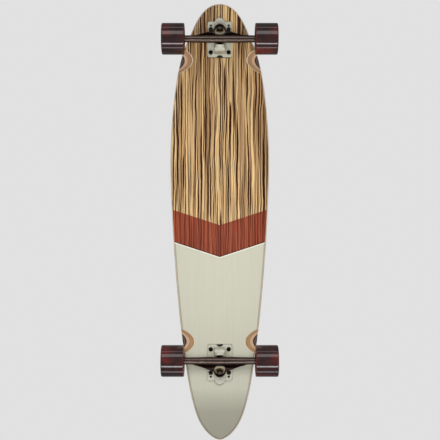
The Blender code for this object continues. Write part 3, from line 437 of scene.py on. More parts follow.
class Graph:
    """Adds nodes to one node tree and joins them."""

    def __init__(self, tree: bpy.types.NodeTree) -> None:
        """Keeps the node tree that new nodes go into."""
        self.tree = tree

    def feed(self, socket: Socket, value: Value) -> None:
        """Joins an output to an input, or sets the input's own value.

        Args:
            socket: The input.
            value: An output socket, a number, a vector or a colour.
        """
        if isinstance(value, Socket):
            self.tree.links.new(value, socket)
        elif socket.type == "RGBA":
            socket.default_value = (*value[:3], 1)
        else:
            socket.default_value = value

    def add(self, kind: str, inputs: dict | None = None, **settings: object) -> bpy.types.Node:
        """Adds a node.

        Args:
            kind: The node's type, without its ShaderNode prefix.
            inputs: Values or outputs for its input sockets, by name or number.
            settings: Its properties.

        Returns:
            The node.
        """
        node = self.tree.nodes.new("ShaderNode" + kind)
        for name, value in settings.items():
            setattr(node, name, value)
        for socket, value in (inputs or {}).items():
            self.feed(node.inputs[socket], value)
        return node

    def place(self) -> Socket:
        """Where a point is in its object, in metres."""
        return self.add("TexCoord").outputs["Object"]

    def axes(self, vector: Socket) -> list[Socket]:
        """The three parts of a vector."""
        return list(self.add("SeparateXYZ", {0: vector}).outputs)

    def maths(self, operation: str, *values: Value) -> Socket:
        """The result of one of a Math node's operations on these inputs, in order."""
        inputs = dict(enumerate(values))
        return self.add("Math", inputs, operation=operation).outputs[0]

    def stretched(self, vector: Socket, scale: Sequence[float]) -> Socket:
        """A vector with each axis multiplied."""
        return self.add("VectorMath", {0: vector, 1: scale}, operation="MULTIPLY").outputs[0]

    def noise(
        self,
        vector: Socket,
        scale: float = 1.0,
        detail: float = 2.0,
        roughness: float = 0.5,
        distortion: float = 0.0,
    ) -> Socket:
        """A noise value from 0 to 1.

        Args:
            vector: Where the noise is read.
            scale: How many features fit in a unit.
            detail: How many finer layers it has.
            roughness: How strong they are.
            distortion: How far it is bent.

        Returns:
            The output socket.
        """
        inputs = {
            "Vector": vector,
            "Scale": scale,
            "Detail": detail,
            "Roughness": roughness,
            "Distortion": distortion,
        }
        return self.add("TexNoise", inputs).outputs[0]

    def spread(self, value: Value, low: Value, high: Value, to: Sequence[float] = (0, 1)) -> Socket:
        """Maps the range from low to high onto another, whose ends the value doesn't pass."""
        inputs = {0: value, 1: low, 2: high, 3: to[0], 4: to[1]}
        return self.add("MapRange", inputs).outputs[0]

    def mix(self, share: Value, first: Value, second: Value, blend: str = "MIX") -> Socket:
        """A mix of two colours, whose share of the second goes from 0 to 1."""
        inputs = {0: share, 6: first, 7: second}
        return self.add("Mix", inputs, data_type="RGBA", blend_type=blend).outputs[2]

    def ramp(
        self, value: Value, stops: Sequence[tuple[float, Colour]], steps: bool = False
    ) -> Socket:
        """A colour from a ramp.

        Args:
            value: Where on the ramp, from 0 to 1.
            stops: The ramp's places and colours.
            steps: Whether colours change at once and don't blend.

        Returns:
            The output socket.
        """
        node = self.add("ValToRGB", {0: value})
        ramp = node.color_ramp
        ramp.interpolation = "CONSTANT" if steps else "LINEAR"
        while len(ramp.elements) < len(stops):
            ramp.elements.new(0.5)
        for element, (place, colour) in zip(ramp.elements, stops):
            element.position = place
            element.color = (*colour, 1)
        return node.outputs[0]

    def bump(self, height: Value, depth: float, strength: float = 1.0) -> Socket:
        """A normal that follows a height from 0 to 1, which is this many millimetres deep."""
        inputs = {"Strength": strength, "Distance": depth * MM, "Height": height}
        return self.add("Bump", inputs).outputs[0]

    def group(self, tree: bpy.types.NodeTree, inputs: dict | None = None) -> bpy.types.Node:
        """Places a shared effect, with its own values.

        Args:
            tree: The effect.
            inputs: Values or outputs for its inputs, by name.

        Returns:
            The node.
        """
        node = self.tree.nodes.new("ShaderNodeGroup")
        node.node_tree = tree
        for socket, value in (inputs or {}).items():
            self.feed(node.inputs[socket], value)
        return node


def new_effect(
    name: str, inputs: dict[str, float], outputs: Sequence[str]
) -> tuple[Graph, dict[str, Socket], bpy.types.Node]:
    """Starts a shared effect.

    Args:
        name: The group's name.
        inputs: Its inputs with their usual values.
        outputs: The names of the values that it gives.

    Returns:
        A graph in the group, its inputs' sockets by name, and its output node.
    """
    tree = bpy.data.node_groups.new(name, "ShaderNodeTree")
    for label, value in inputs.items():
        socket = tree.interface.new_socket(label, in_out="INPUT", socket_type="NodeSocketFloat")
        socket.default_value = value
    for label in outputs:
        tree.interface.new_socket(label, in_out="OUTPUT", socket_type="NodeSocketFloat")
    start = tree.nodes.new("NodeGroupInput")
    end = tree.nodes.new("NodeGroupOutput")
    return Graph(tree), {label: start.outputs[label] for label in inputs}, end


def edge_wear_effect() -> bpy.types.NodeTree:
    """Worn edges and darker hollows, from how much the surface bulges.

    Returns:
        The effect.
    """
    found = bpy.data.node_groups.get("edge_wear")
    if found:
        return found
    given = {"Start": 0.52, "Full": 0.6, "Patch size": 300.0}
    graph, inputs, end = new_effect("edge_wear", given, ("Wear", "Dirt"))
    # Pointiness is 0.5 where the surface is flat, more on edges and less in hollows.
    bulge = graph.add("NewGeometry").outputs["Pointiness"]
    patches = graph.noise(graph.place(), inputs["Patch size"], 3)
    rubbed = graph.spread(bulge, inputs["Start"], inputs["Full"])
    patchy = graph.spread(patches, 0.38, 0.62)
    graph.feed(end.inputs["Wear"], graph.maths("MULTIPLY", rubbed, patchy))
    # A second mask, high in hollows and inside corners, in patches.
    hollow = graph.spread(bulge, 0.48, 0.42)
    graph.feed(end.inputs["Dirt"], graph.maths("MULTIPLY", hollow, graph.spread(patches, 0.25, 0.6)))
    return graph.tree


def grain_effect() -> bpy.types.NodeTree:
    """A fine even grain with wide, faint blotches, as on castings, rubber and moulded parts.

    Returns:
        The effect.
    """
    found = bpy.data.node_groups.get("grain")
    if found:
        return found
    given = {"Grain size": 0.4, "Blotch size": 12.0}
    graph, inputs, end = new_effect("grain", given, ("Grain", "Blotch"))
    place = graph.place()
    fine = graph.maths("DIVIDE", 1 / MM, inputs["Grain size"])
    wide = graph.maths("DIVIDE", 1 / MM, inputs["Blotch size"])
    graph.feed(end.inputs["Grain"], graph.noise(place, fine, 3, 0.6))
    graph.feed(end.inputs["Blotch"], graph.noise(place, wide, 4, 0.55))
    return graph.tree


def tooling_effect() -> bpy.types.NodeTree:
    """Fine rings left by a lathe round an object's own Z axis.

    Returns:
        The effect.
    """
    found = bpy.data.node_groups.get("tooling")
    if found:
        return found
    graph, inputs, end = new_effect("tooling", {"Ring size": 0.15}, ("Rings",))
    x, y, z = graph.axes(graph.place())
    square = graph.maths("ADD", graph.maths("MULTIPLY", x, x), graph.maths("MULTIPLY", y, y))
    radius = graph.maths("SQRT", square)
    path = graph.add("CombineXYZ", {0: radius, 1: z}).outputs[0]
    often = graph.maths("DIVIDE", 1 / MM, inputs["Ring size"])
    graph.feed(end.inputs["Rings"], graph.noise(path, often, 2, 0.6))
    return graph.tree


# Finishes


# Colours of scuffed rubber and of a bright grain of grit, and how many millimetres deep the
# underside's veneer and paint reach before the plies show.
SCUFF_GREY: Colour = (0.5, 0.48, 0.45)
GRIT_SPARKLE: Colour = (0.35, 0.35, 0.36)
VENEER_SKIN = 0.09


@dataclass(frozen=True)
class Finish:
    """A surface finish, which makes its material on its first use."""

    name: str

    def material(self) -> bpy.types.Material:
        """Finds or makes the material.

        Returns:
            The finish's material.
        """
        found = bpy.data.materials.get(self.name)
        if found:
            return found
        made = bpy.data.materials.new(self.name)
        made.use_nodes = True
        self.wire(Graph(made.node_tree), made.node_tree.nodes["Principled BSDF"])
        return made

    def wire(self, graph: Graph, shader: bpy.types.Node) -> None:
        """Joins the finish's nodes to the material's Principled BSDF."""
        raise NotImplementedError


@dataclass(frozen=True)
class CastFinish(Finish):
    """A painted or anodised casting, with a fine grain, worn edges, and hollows and corners that go darker.

    Wear is how far its rubbed edges go to their own colour, and the edge tint darkens the gloss of
    a metal's steep faces. The grain's depth is in millimetres.
    """

    base: Colour
    blotch: Colour
    worn: Colour
    dirt: Colour
    metallic: float
    roughness: float
    grain_depth: float
    wear: float
    edge_tint: Colour = (1.0, 1.0, 1.0)

    def wire(self, graph: Graph, shader: bpy.types.Node) -> None:
        """Joins grain, blotches, wear and darker hollows to the shader.

        Args:
            graph: The material's graph.
            shader: Its Principled BSDF.
        """
        grain = graph.group(grain_effect(), {"Grain size": 0.5, "Blotch size": 14.0})
        wear = graph.group(edge_wear_effect(), {"Start": 0.53, "Full": 0.6})
        blotch = graph.spread(grain.outputs["Blotch"], 0.35, 0.7)
        colour = graph.mix(blotch, self.base, self.blotch)
        # Hollows and inside corners go darker, towards the hollow colour.
        colour = graph.mix(graph.maths("MULTIPLY", wear.outputs["Dirt"], 0.7), colour, self.dirt)
        rubbed = graph.maths("MULTIPLY", wear.outputs["Wear"], self.wear)
        graph.feed(shader.inputs["Base Color"], graph.mix(rubbed, colour, self.worn))
        least, most = self.roughness - 0.05, self.roughness + 0.07
        rough = graph.spread(grain.outputs["Grain"], 0.3, 0.7, (least, most))
        polish = graph.maths("MULTIPLY", rubbed, 0.1)
        graph.feed(shader.inputs["Roughness"], graph.maths("SUBTRACT", rough, polish))
        shader.inputs["Metallic"].default_value = self.metallic
        shader.inputs["Specular Tint"].default_value = (*self.edge_tint, 1)
        graph.feed(shader.inputs["Normal"], graph.bump(grain.outputs["Grain"], self.grain_depth))


@dataclass(frozen=True)
class SteelFinish(Finish):
    """Turned or pressed steel, plated or blackened, with lathe rings and worn edges.

    The rings' depth is in millimetres.
    """

    base: Colour
    tint: Colour
    worn: Colour
    roughness: float
    ring_depth: float = 0.006

    def wire(self, graph: Graph, shader: bpy.types.Node) -> None:
        """Joins rings, stains and wear to the shader.

        Args:
            graph: The material's graph.
            shader: Its Principled BSDF.
        """
        rings = graph.group(tooling_effect(), {"Ring size": 0.18}).outputs["Rings"]
        grain = graph.group(grain_effect(), {"Grain size": 0.3, "Blotch size": 5.0})
        wear = graph.group(edge_wear_effect(), {"Start": 0.53, "Full": 0.62})
        stain = graph.spread(grain.outputs["Blotch"], 0.4, 0.7)
        colour = graph.mix(stain, self.base, self.tint)
        colour = graph.mix(graph.maths("MULTIPLY", wear.outputs["Wear"], 0.7), colour, self.worn)
        graph.feed(shader.inputs["Base Color"], colour)
        least, most = self.roughness - 0.06, self.roughness + 0.1
        rough = graph.spread(rings, 0.3, 0.7, (least, most))
        dulled = graph.maths("MULTIPLY", stain, 0.05)
        graph.feed(shader.inputs["Roughness"], graph.maths("ADD", rough, dulled))
        shader.inputs["Metallic"].default_value = 1.0
        graph.feed(shader.inputs["Normal"], graph.bump(rings, self.ring_depth))


@dataclass(frozen=True)
class PlainFinish(Finish):
    """Moulded rubber, plastic or plain urethane. Its grain's size and depth are in millimetres."""

    base: Colour
    blotch: Colour
    roughness: float
    grain_size: float
    grain_depth: float
    subsurface: float = 0.0

    def wire(self, graph: Graph, shader: bpy.types.Node) -> None:
        """Joins grain, blotches and scuffs to the shader.

        Args:
            graph: The material's graph.
            shader: Its Principled BSDF.
        """
        grain = graph.group(grain_effect(), {"Grain size": self.grain_size, "Blotch size": 9.0})
        wear = graph.group(edge_wear_effect(), {"Start": 0.54, "Full": 0.64})
        colour = graph.mix(graph.spread(grain.outputs["Blotch"], 0.35, 0.7), self.base, self.blotch)
        scuff = graph.mix(0.5, self.blotch, SCUFF_GREY)
        rubbed = graph.maths("MULTIPLY", wear.outputs["Wear"], 0.35)
        graph.feed(shader.inputs["Base Color"], graph.mix(rubbed, colour, scuff))
        least, most = self.roughness - 0.06, self.roughness + 0.06
        graph.feed(shader.inputs["Roughness"], graph.spread(grain.outputs["Grain"], 0.3, 0.7, (least, most)))
        shader.inputs["Subsurface Weight"].default_value = self.subsurface
        shader.inputs["Subsurface Radius"].default_value = (1.0, 0.7, 0.4)
        shader.inputs["Subsurface Scale"].default_value = 2 * MM
        graph.feed(shader.inputs["Normal"], graph.bump(grain.outputs["Grain"], self.grain_depth))


@dataclass(frozen=True)
class WheelFinish(Finish):
    """Dark red urethane: nearly black where it is thick, and glowing red at its inboard lip."""

    deep: Colour
    clear: Colour
    glow: Colour
    half_width: float

    def wire(self, graph: Graph, shader: bpy.types.Node) -> None:
        """Joins depth, swirls, tread scuffs and the lip's glow to the shader.

        Args:
            graph: The material's graph.
            shader: Its Principled BSDF.
        """
        place = graph.place()
        z = graph.axes(place)[2]
        swirl = graph.noise(place, 38.0, 3, 0.55, 0.6)
        cloud = graph.noise(graph.stretched(place, (1, 1, 0.45)), 24.0, 2)
        depth = graph.spread(swirl, 0.42, 0.68)
        colour = graph.mix(depth, self.deep, self.clear)
        patch = graph.spread(cloud, 0.54, 0.76)
        colour = graph.mix(graph.maths("MULTIPLY", patch, 0.5), colour, self.glow)
        inboard = graph.maths("DIVIDE", z, -self.half_width * MM)
        lip = graph.maths("POWER", graph.spread(inboard, 0.8, 1.0), 2.0)
        colour = graph.mix(graph.maths("MULTIPLY", lip, 0.4), colour, self.glow)
        graph.feed(shader.inputs["Base Color"], colour)
        scuff = graph.noise(graph.stretched(place, (1, 1, 0.2)), 900.0, 3, 0.6)
        worn = graph.spread(scuff, 0.35, 0.75, (0.09, 0.16))
        graph.feed(shader.inputs["Roughness"], worn)
        shader.inputs["IOR"].default_value = 1.5
        shader.inputs["Subsurface Weight"].default_value = 0.2
        shader.inputs["Subsurface Radius"].default_value = (1.0, 0.12, 0.1)
        shader.inputs["Subsurface Scale"].default_value = 5 * MM
        graph.feed(shader.inputs["Normal"], graph.bump(scuff, 0.006, 0.6))


@dataclass(frozen=True)
class GripFinish(Finish):
    """Black grit on a cloth-backed sheet, with sparkling grains and dusty, walked-on patches."""

    base: Colour
    dust: Colour
    grain_size: float

    def wire(self, graph: Graph, shader: bpy.types.Node) -> None:
        """Joins grit, sparkle and dust to the shader.

        Args:
            graph: The material's graph.
            shader: Its Principled BSDF.
        """
        place = graph.place()
        often = 1 / (self.grain_size * MM)
        grit = graph.noise(place, often, 2, 0.7)
        sparkle = graph.spread(graph.noise(place, often * 1.4, 1), 0.68, 0.78)
        patch = graph.spread(graph.noise(graph.stretched(place, (1, 1.6, 1)), 7.0, 4, 0.6), 0.45, 0.75)
        colour = graph.mix(graph.maths("MULTIPLY", patch, 0.35), self.base, self.dust)
        colour = graph.mix(graph.spread(grit, 0.5, 0.8, (0, 0.4)), colour, self.dust)
        graph.feed(shader.inputs["Base Color"], graph.mix(sparkle, colour, GRIT_SPARKLE))
        graph.feed(shader.inputs["Roughness"], graph.spread(sparkle, 0, 1, (0.9, 0.25)))
        graph.feed(shader.inputs["Normal"], graph.bump(grit, 0.22))


@dataclass(frozen=True)
class Streak:
    """Noise that is drawn out along the board, by how many features fit in a metre."""

    along: float
    across: float
    shift: float
    detail: float

    def value(self, graph: Graph, x: Socket, y: Socket) -> Socket:
        """The noise at a place on the board.

        Args:
            graph: The material's graph.
            x: Place along the board, in metres.
            y: Place across it.

        Returns:
            The output socket.
        """
        inputs = {
            0: graph.maths("MULTIPLY", x, self.along),
            1: graph.maths("MULTIPLY", y, self.across),
            2: self.shift,
        }
        vector = graph.add("CombineXYZ", inputs).outputs[0]
        return graph.noise(vector, 1.0, self.detail, 0.55)


RING_WANDER = Streak(2.2, 80.0, 5.0, 1.5)
RING_PATCHES = Streak(2.8, 290.0, 0.0, 1.2)
TONE_BANDS = Streak(1.6, 60.0, 7.0, 1.0)
DARK_LINES = Streak(3.0, 680.0, 3.0, 1.0)
FIBRES = Streak(14.0, 1600.0, 11.0, 2.0)


@dataclass(frozen=True)
class DeckFinish(Finish):
    """Zebra-wood veneer, a red-brown chevron and pale paint under lacquer, over maple plies.

    The ply colours go by depth from the underside, in millimetres. The chevron's edges are where
    they cross the middle of the board, and its slope is their rise towards the nose. Growth rings
    go by their phase in radians for each metre across the board, and how far it wanders.
    """

    plies: tuple[tuple[float, Colour], ...]
    thickness: float
    chevron_top: float
    chevron_bottom: float
    chevron_slope: float
    line_width: float
    paint: Colour
    paint_grain: Colour
    # Painted shade of the rounded rail: a darker band of paint just in from the edge, and how far in it reaches.
    rail_shade: Colour
    # Painted shade over the kicktail: its colour, and where along the board it starts and is full.
    kick_shade: Colour
    kick_shade_start: float
    kick_shade_end: float
    rail_shade_inset: float = 4.6
    ring_phase: float = 1050.0
    ring_wander: float = 24.0
    sway_reach: float = 0.009
    ripple_reach: float = 0.002

    def zebra(self, graph: Graph, x: Socket, y: Socket) -> tuple[Socket, Socket]:
        """Lengthwise stripes of zebra-wood.

        Args:
            graph: The material's graph.
            x: Place along the board, in metres.
            y: Place across it.

        Returns:
            The veneer's colour, and a value that is high on its pale stripes.
        """
        plan = graph.add("CombineXYZ", {0: x, 1: graph.maths("MULTIPLY", y, 2.2)}).outputs[0]
        sway = graph.maths("SUBTRACT", graph.noise(plan, 9.0, 3), 0.5)
        ripple = graph.maths("SUBTRACT", graph.noise(plan, 30.0, 2), 0.5)
        across = graph.maths("ADD", y, graph.maths("MULTIPLY", sway, self.sway_reach))
        across = graph.maths("ADD", across, graph.maths("MULTIPLY", ripple, self.ripple_reach))

        phase = graph.maths("MULTIPLY", across, self.ring_phase)
        wander = graph.maths("MULTIPLY", RING_WANDER.value(graph, x, across), self.ring_wander)
        rings = graph.spread(graph.maths("SINE", graph.maths("ADD", phase, wander)), -0.6, 0.6)
        patches = graph.spread(RING_PATCHES.value(graph, x, across), 0.42, 0.58)
        band = graph.spread(graph.maths("ADD", patches, graph.maths("MULTIPLY", rings, 0.9)), 0.42, 1.45)
        colour = graph.ramp(
            band,
            [
                (0.06, shade(58, 24, 8)),
                (0.2, shade(94, 50, 26)),
                (0.3, shade(150, 108, 70)),
                (0.42, shade(226, 183, 124)),
                (0.6, shade(255, 222, 164)),
                (1.0, shade(244, 204, 146)),
            ],
        )
        tone = graph.spread(TONE_BANDS.value(graph, x, across), 0.5, 0.62)
        colour = graph.mix(graph.maths("MULTIPLY", tone, 0.75), colour, shade(188, 170, 162), "MULTIPLY")
        line = graph.spread(DARK_LINES.value(graph, x, across), 0.46, 0.42)
        colour = graph.mix(graph.maths("MULTIPLY", line, 0.9), colour, shade(58, 26, 10))
        fibre = graph.spread(FIBRES.value(graph, x, across), 0.35, 0.6, (0.2, 0))
        colour = graph.mix(fibre, colour, shade(90, 58, 34))
        pale = graph.maths("MULTIPLY", graph.spread(band, 0.1, 0.7), graph.spread(line, 0, 1, (1, 0)))
        return colour, pale

    def wire(self, graph: Graph, shader: bpy.types.Node) -> None:
        """Joins plies, veneer, chevron, paint and lacquer to the shader.

        Args:
            graph: The material's graph.
            shader: Its Principled BSDF.
        """
        place = graph.place()
        x, y, _ = graph.axes(place)
        depth = graph.add("Attribute", attribute_name="ply_depth").outputs["Fac"]
        rim = graph.add("Attribute", attribute_name="rim_distance").outputs["Fac"]
        veneer, pale = self.zebra(graph, x, y)

        lean = graph.maths("MULTIPLY", graph.maths("ABSOLUTE", y), self.chevron_slope)
        slant = graph.maths("SUBTRACT", x, lean)
        red = graph.ramp(
            pale,
            [(0.0, shade(96, 42, 30)), (0.5, shade(142, 66, 44)), (1.0, shade(168, 84, 56))],
        )
        under = graph.mix(graph.maths("LESS_THAN", slant, self.chevron_top * MM), veneer, red)
        under = graph.mix(graph.maths("LESS_THAN", slant, self.chevron_bottom * MM), under, shade(38, 26, 20))
        white_start = self.chevron_bottom - self.line_width
        under = graph.mix(graph.maths("LESS_THAN", slant, white_start * MM), under, shade(246, 238, 222))
        paint_start = white_start - 1.2 * self.line_width
        fleck = graph.noise(graph.stretched(place, (6, 420, 6)), 1.0, 3, 0.6)
        paint = graph.mix(graph.spread(fleck, 0.35, 0.75, (0, 0.8)), self.paint, self.paint_grain)
        # Painted shade along the rail: the paint goes darker within a few millimetres of the edge.
        edge = graph.maths("MULTIPLY", graph.maths("LESS_THAN", rim, self.rail_shade_inset), 0.85)
        paint = graph.mix(edge, paint, self.rail_shade)
        # Painted shade: the paint goes darker over the kicktail, where the underside turns away from the light.
        kick_shade_share = graph.spread(x, self.kick_shade_start * MM, self.kick_shade_end * MM)
        paint = graph.mix(kick_shade_share, paint, self.kick_shade, "MULTIPLY")
        under = graph.mix(graph.maths("LESS_THAN", slant, paint_start * MM), under, paint)

        stops = [(start / self.thickness, colour) for start, colour in self.plies]
        plies = graph.ramp(graph.maths("DIVIDE", depth, self.thickness), stops, steps=True)
        wood = graph.noise(graph.stretched(place, (30, 260, 900)), 1.0, 4, 0.6)
        plies = graph.mix(graph.spread(wood, 0.3, 0.7, (0, 0.35)), plies, shade(120, 84, 56), "MULTIPLY")
        inside = graph.maths("GREATER_THAN", depth, VENEER_SKIN)
        graph.feed(shader.inputs["Base Color"], graph.mix(inside, under, plies))

        haze = graph.noise(place, 60.0, 4, 0.6)
        rough = graph.spread(haze, 0.3, 0.7, (0.3, 0.38))
        bare = graph.maths("MULTIPLY", inside, 0.12)
        graph.feed(shader.inputs["Roughness"], graph.maths("ADD", rough, bare))
        shader.inputs["Specular IOR Level"].default_value = 0.12
        shader.inputs["Coat Roughness"].default_value = 0.12
        graph.feed(shader.inputs["Coat Weight"], graph.spread(inside, 0, 1, (0.03, 0.0)))
        pores = graph.noise(graph.stretched(place, (25, 1500, 1500)), 1.0, 2, 0.6)
        graph.feed(shader.inputs["Normal"], graph.bump(pores, 0.02, 0.5))


PALE_PAINT = CastFinish(
    name="pale_baseplate_paint",
    base=shade(205, 203, 184),
    blotch=shade(192, 190, 172),
    worn=shade(222, 220, 206),
    dirt=shade(96, 92, 78),
    metallic=0.0,
    roughness=0.42,
    grain_depth=0.02,
    wear=0.5,
)
DARK_BRONZE = CastFinish(
    name="dark_bronze_hanger",
    base=shade(90, 77, 71),
    blotch=shade(78, 67, 62),
    worn=shade(150, 134, 124),
    dirt=shade(34, 26, 22),
    metallic=1.0,
    roughness=0.26,
    grain_depth=0.02,
    wear=0.5,
    edge_tint=(0.2, 0.17, 0.15),
)
GOLD_ZINC = SteelFinish(
    name="yellow_zinc_steel",
    base=shade(176, 144, 96),
    tint=shade(150, 120, 78),
    # On the cup washer's rim this worn colour stands partly for worn plating and partly for a painted highlight.
    worn=shade(240, 222, 184),
    roughness=0.3,
)
ZINC = SteelFinish(
    name="zinc_plated_steel",
    base=shade(205, 203, 196),
    tint=shade(180, 176, 166),
    worn=shade(232, 230, 224),
    roughness=0.24,
)
DULL_STEEL = SteelFinish(
    name="dull_kingpin_steel",
    base=shade(96, 92, 86),
    tint=shade(80, 76, 70),
    worn=shade(160, 156, 148),
    roughness=0.32,
)
BLACK_STEEL = SteelFinish(
    name="blackened_steel",
    base=shade(46, 44, 40),
    tint=shade(60, 55, 46),
    worn=shade(150, 146, 138),
    roughness=0.32,
)
RACE_STEEL = SteelFinish(
    name="bearing_race_steel",
    base=shade(212, 212, 210),
    tint=shade(196, 196, 194),
    worn=shade(235, 235, 232),
    roughness=0.16,
)
RUBBER = PlainFinish("riser_rubber", shade(34, 34, 34), shade(44, 43, 42), 0.7, 0.5, 0.04)
SHIELD = PlainFinish("bearing_shield_rubber", shade(40, 14, 14), shade(52, 18, 18), 0.5, 0.3, 0.01)
ACETAL = PlainFinish("pivot_cup_acetal", shade(40, 40, 42), shade(50, 50, 52), 0.45, 0.3, 0.01)
NYLON = PlainFinish("locking_nylon", shade(44, 42, 36), shade(56, 53, 45), 0.5, 0.3, 0.01)
HUB = PlainFinish("wheel_hub_nylon", shade(34, 26, 26), shade(46, 34, 34), 0.42, 0.3, 0.01)
BUSHING = PlainFinish(
    name="cream_bushing_urethane",
    base=shade(196, 186, 162),
    blotch=shade(178, 166, 140),
    roughness=0.4,
    grain_size=0.6,
    grain_depth=0.01,
    subsurface=0.35,
)
DARK_RED_URETHANE = WheelFinish(
    name="dark_red_urethane",
    deep=shade(48, 29, 29),
    clear=shade(68, 32, 32),
    glow=shade(150, 42, 26),
    half_width=WHEEL_WIDTH / 2,
)
GRIP = GripFinish("black_grip_sheet", shade(24, 24, 25), shade(74, 72, 70), 0.45)

PALE_PLY = shade(240, 220, 194)
CREAM_PLY = shade(228, 194, 164)
TAN_PLY = shade(194, 155, 114)
ZEBRA_WOOD = DeckFinish(
    name="zebra_wood_deck",
    plies=(
        (0.0, PALE_PLY),
        (0.8, shade(164, 122, 90)),
        (1.25, TAN_PLY),
        (3.75, CREAM_PLY),
        # The dark brown, grey-brown and near-black plies stand partly for dark plies and partly for painted shade
        # deep in the wheel wells.
        (5.45, shade(74, 44, 30)),
        (6.2, shade(114, 99, 93)),
        (7.2, shade(34, 27, 24)),
        (7.8, TAN_PLY),
        (9.6, PALE_PLY),
    ),
    thickness=DECK_THICKNESS,
    chevron_top=-8.2,
    chevron_bottom=-80.3,
    chevron_slope=0.328,
    line_width=2.0,
    paint=shade(211, 209, 190),
    paint_grain=shade(204, 202, 183),
    # Painted shade along the rail.
    rail_shade=shade(160, 156, 138),
    # Painted shade over the kicktail, darkening the paint towards the tail.
    kick_shade=shade(206, 204, 200),
    kick_shade_start=-385.0,
    kick_shade_end=-440.0,
)


# Deck and grip sheet


@dataclass
class Board:
    """The deck's form: outline, rail, concave and kicktail, in millimetres."""

    width: float = 229.4
    thickness: float = DECK_THICKNESS
    rail_radius: float = 2.6
    widest_from_nose: float = 366.0
    nose_shoulder: tuple[float, float] = (84.5, 72.7)
    nose_slope: float = 0.65
    tail_shoulder: tuple[float, float] = (48.3, 48.9)
    tail_slope: float = 0.45
    nose_handle: float = 49.5
    nose_shoulder_handles: tuple[float, float] = (10.4, 53.8)
    widest_handles: tuple[float, float] = (89.6, 145.0)
    tail_shoulder_handles: tuple[float, float] = (97.8, 38.7)
    tail_handle: float = 9.7
    flat_half_width: float = 33.0
    concave: float = 5.0
    kick_length: float = 129.0
    kick_blend: float = 63.0
    kick_angle: float = 10.0
    station_gap: float = 8.0
    columns: int = 30
    curve_points: int = 160
    rail_steps: int = 8
    tip_steps: int = 14
    nose_stretch: float = 90.0
    tail_stretch: float = 60.0

    def __post_init__(self) -> None:
        """Reads the deck's place and length off the CAD node and draws the outline."""
        low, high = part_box("deck")
        self.nose = high.x / MM
        self.tail = low.x / MM
        self.underside = low.z / MM
        points = self.outline()
        self.outline_x = np.array([point.x for point in reversed(points)])
        self.outline_y = np.array([point.y for point in reversed(points)])

    def outline(self) -> list[Vector]:
        """Draws the left half of the deck's outline.

        Returns:
            Closely spaced points, from nose to tail.
        """
        nose = Vector((self.nose, 0))
        tail = Vector((self.tail, 0))
        front = nose + Vector((-self.nose_shoulder[0], self.nose_shoulder[1]))
        back = tail + Vector(self.tail_shoulder)
        widest = Vector((self.nose - self.widest_from_nose, self.width / 2))
        widening = Vector((-1, self.nose_slope)).normalized()
        narrowing = Vector((-1, -self.tail_slope)).normalized()
        knots = [
            (nose, nose, nose + Vector((0, self.nose_handle))),
            (
                front - widening * self.nose_shoulder_handles[0],
                front,
                front + widening * self.nose_shoulder_handles[1],
            ),
            (
                widest + Vector((self.widest_handles[0], 0)),
                widest,
                widest - Vector((self.widest_handles[1], 0)),
            ),
            (
                back - narrowing * self.tail_shoulder_handles[0],
                back,
                back + narrowing * self.tail_shoulder_handles[1],
            ),
            (tail + Vector((0, self.tail_handle)), tail, tail),
        ]
        points = []
        for (_, start, leaving), (arriving, end, _) in zip(knots, knots[1:]):
            points += interpolate_bezier(start, leaving, arriving, end, self.curve_points)[:-1]
        return points + [tail]

    def half_width(self, x: float) -> float:
        """Half the deck's width at one place along it."""
        return float(np.interp(x, self.outline_x, self.outline_y, 0, 0))

    def rise(self, x: float, y: float) -> float:
        """How far concave and kicktail lift the deck.

        Args:
            x: Place along the deck, in millimetres.
            y: Place across it.

        Returns:
            The lift at that place.
        """
        beyond = max(0.0, abs(y) - self.flat_half_width) / (self.width / 2 - self.flat_half_width)
        lift = self.concave * beyond**2
        along = self.kick_length + self.tail - x
        slope = math.tan(math.radians(self.kick_angle))
        if along <= 0:
            return lift
        if along < self.kick_blend:
            return lift + slope * along**2 / (2 * self.kick_blend)
        return lift + slope * (along - self.kick_blend / 2)

    def stations(self) -> list[float]:
        """Places along the deck, closer together at the round ends.

        Returns:
            The places, from nose to tail.
        """
        quarter = math.pi / 2 / self.tip_steps
        bend = [1 - math.cos(quarter * step) for step in range(self.tip_steps)]
        front = [self.nose - self.nose_stretch * share for share in bend]
        back = [self.tail + self.tail_stretch * share for share in bend]
        start = self.nose - self.nose_stretch
        end = self.tail + self.tail_stretch
        spans = math.ceil((start - end) / self.station_gap)
        middle = [start + (end - start) * span / spans for span in range(spans + 1)]
        return front + middle + back[::-1]

    def inset(self, distance: float) -> list[Vector]:
        """Left-hand outline points at the stations, moved in.

        Args:
            distance: How far they move in, in millimetres.

        Returns:
            The points, nose to tail.
        """
        places = self.stations()
        points = [Vector((places[0] - distance, 0))]
        step = 0.5
        for x in places[1:-1]:
            ahead = Vector((x + step, self.half_width(x + step)))
            behind = Vector((x - step, self.half_width(x - step)))
            along = (behind - ahead).normalized()
            points.append(Vector((x, self.half_width(x))) + distance * Vector((-along.y, along.x)))
        return points + [Vector((places[-1] + distance, 0))]

    def loft(self, name: str, rail: Sequence[tuple[float, float]], bottom: float) -> bpy.types.Object:
        """A board through rings of (inset, height), closed by crowned faces on both sides.

        Args:
            name: The new object's name.
            rail: The rings, from the underside to the top.
            bottom: Height of the rings' zero above the ground, in the flat part of the board.

        Returns:
            The board.
        """
        shape = bmesh.new()

        def point(x: float, y: float, height: float) -> bmesh.types.BMVert:
            """A vertex on the board's curved form."""
            return shape.verts.new(Vector((x, y, bottom + height + self.rise(x, y))) * MM)

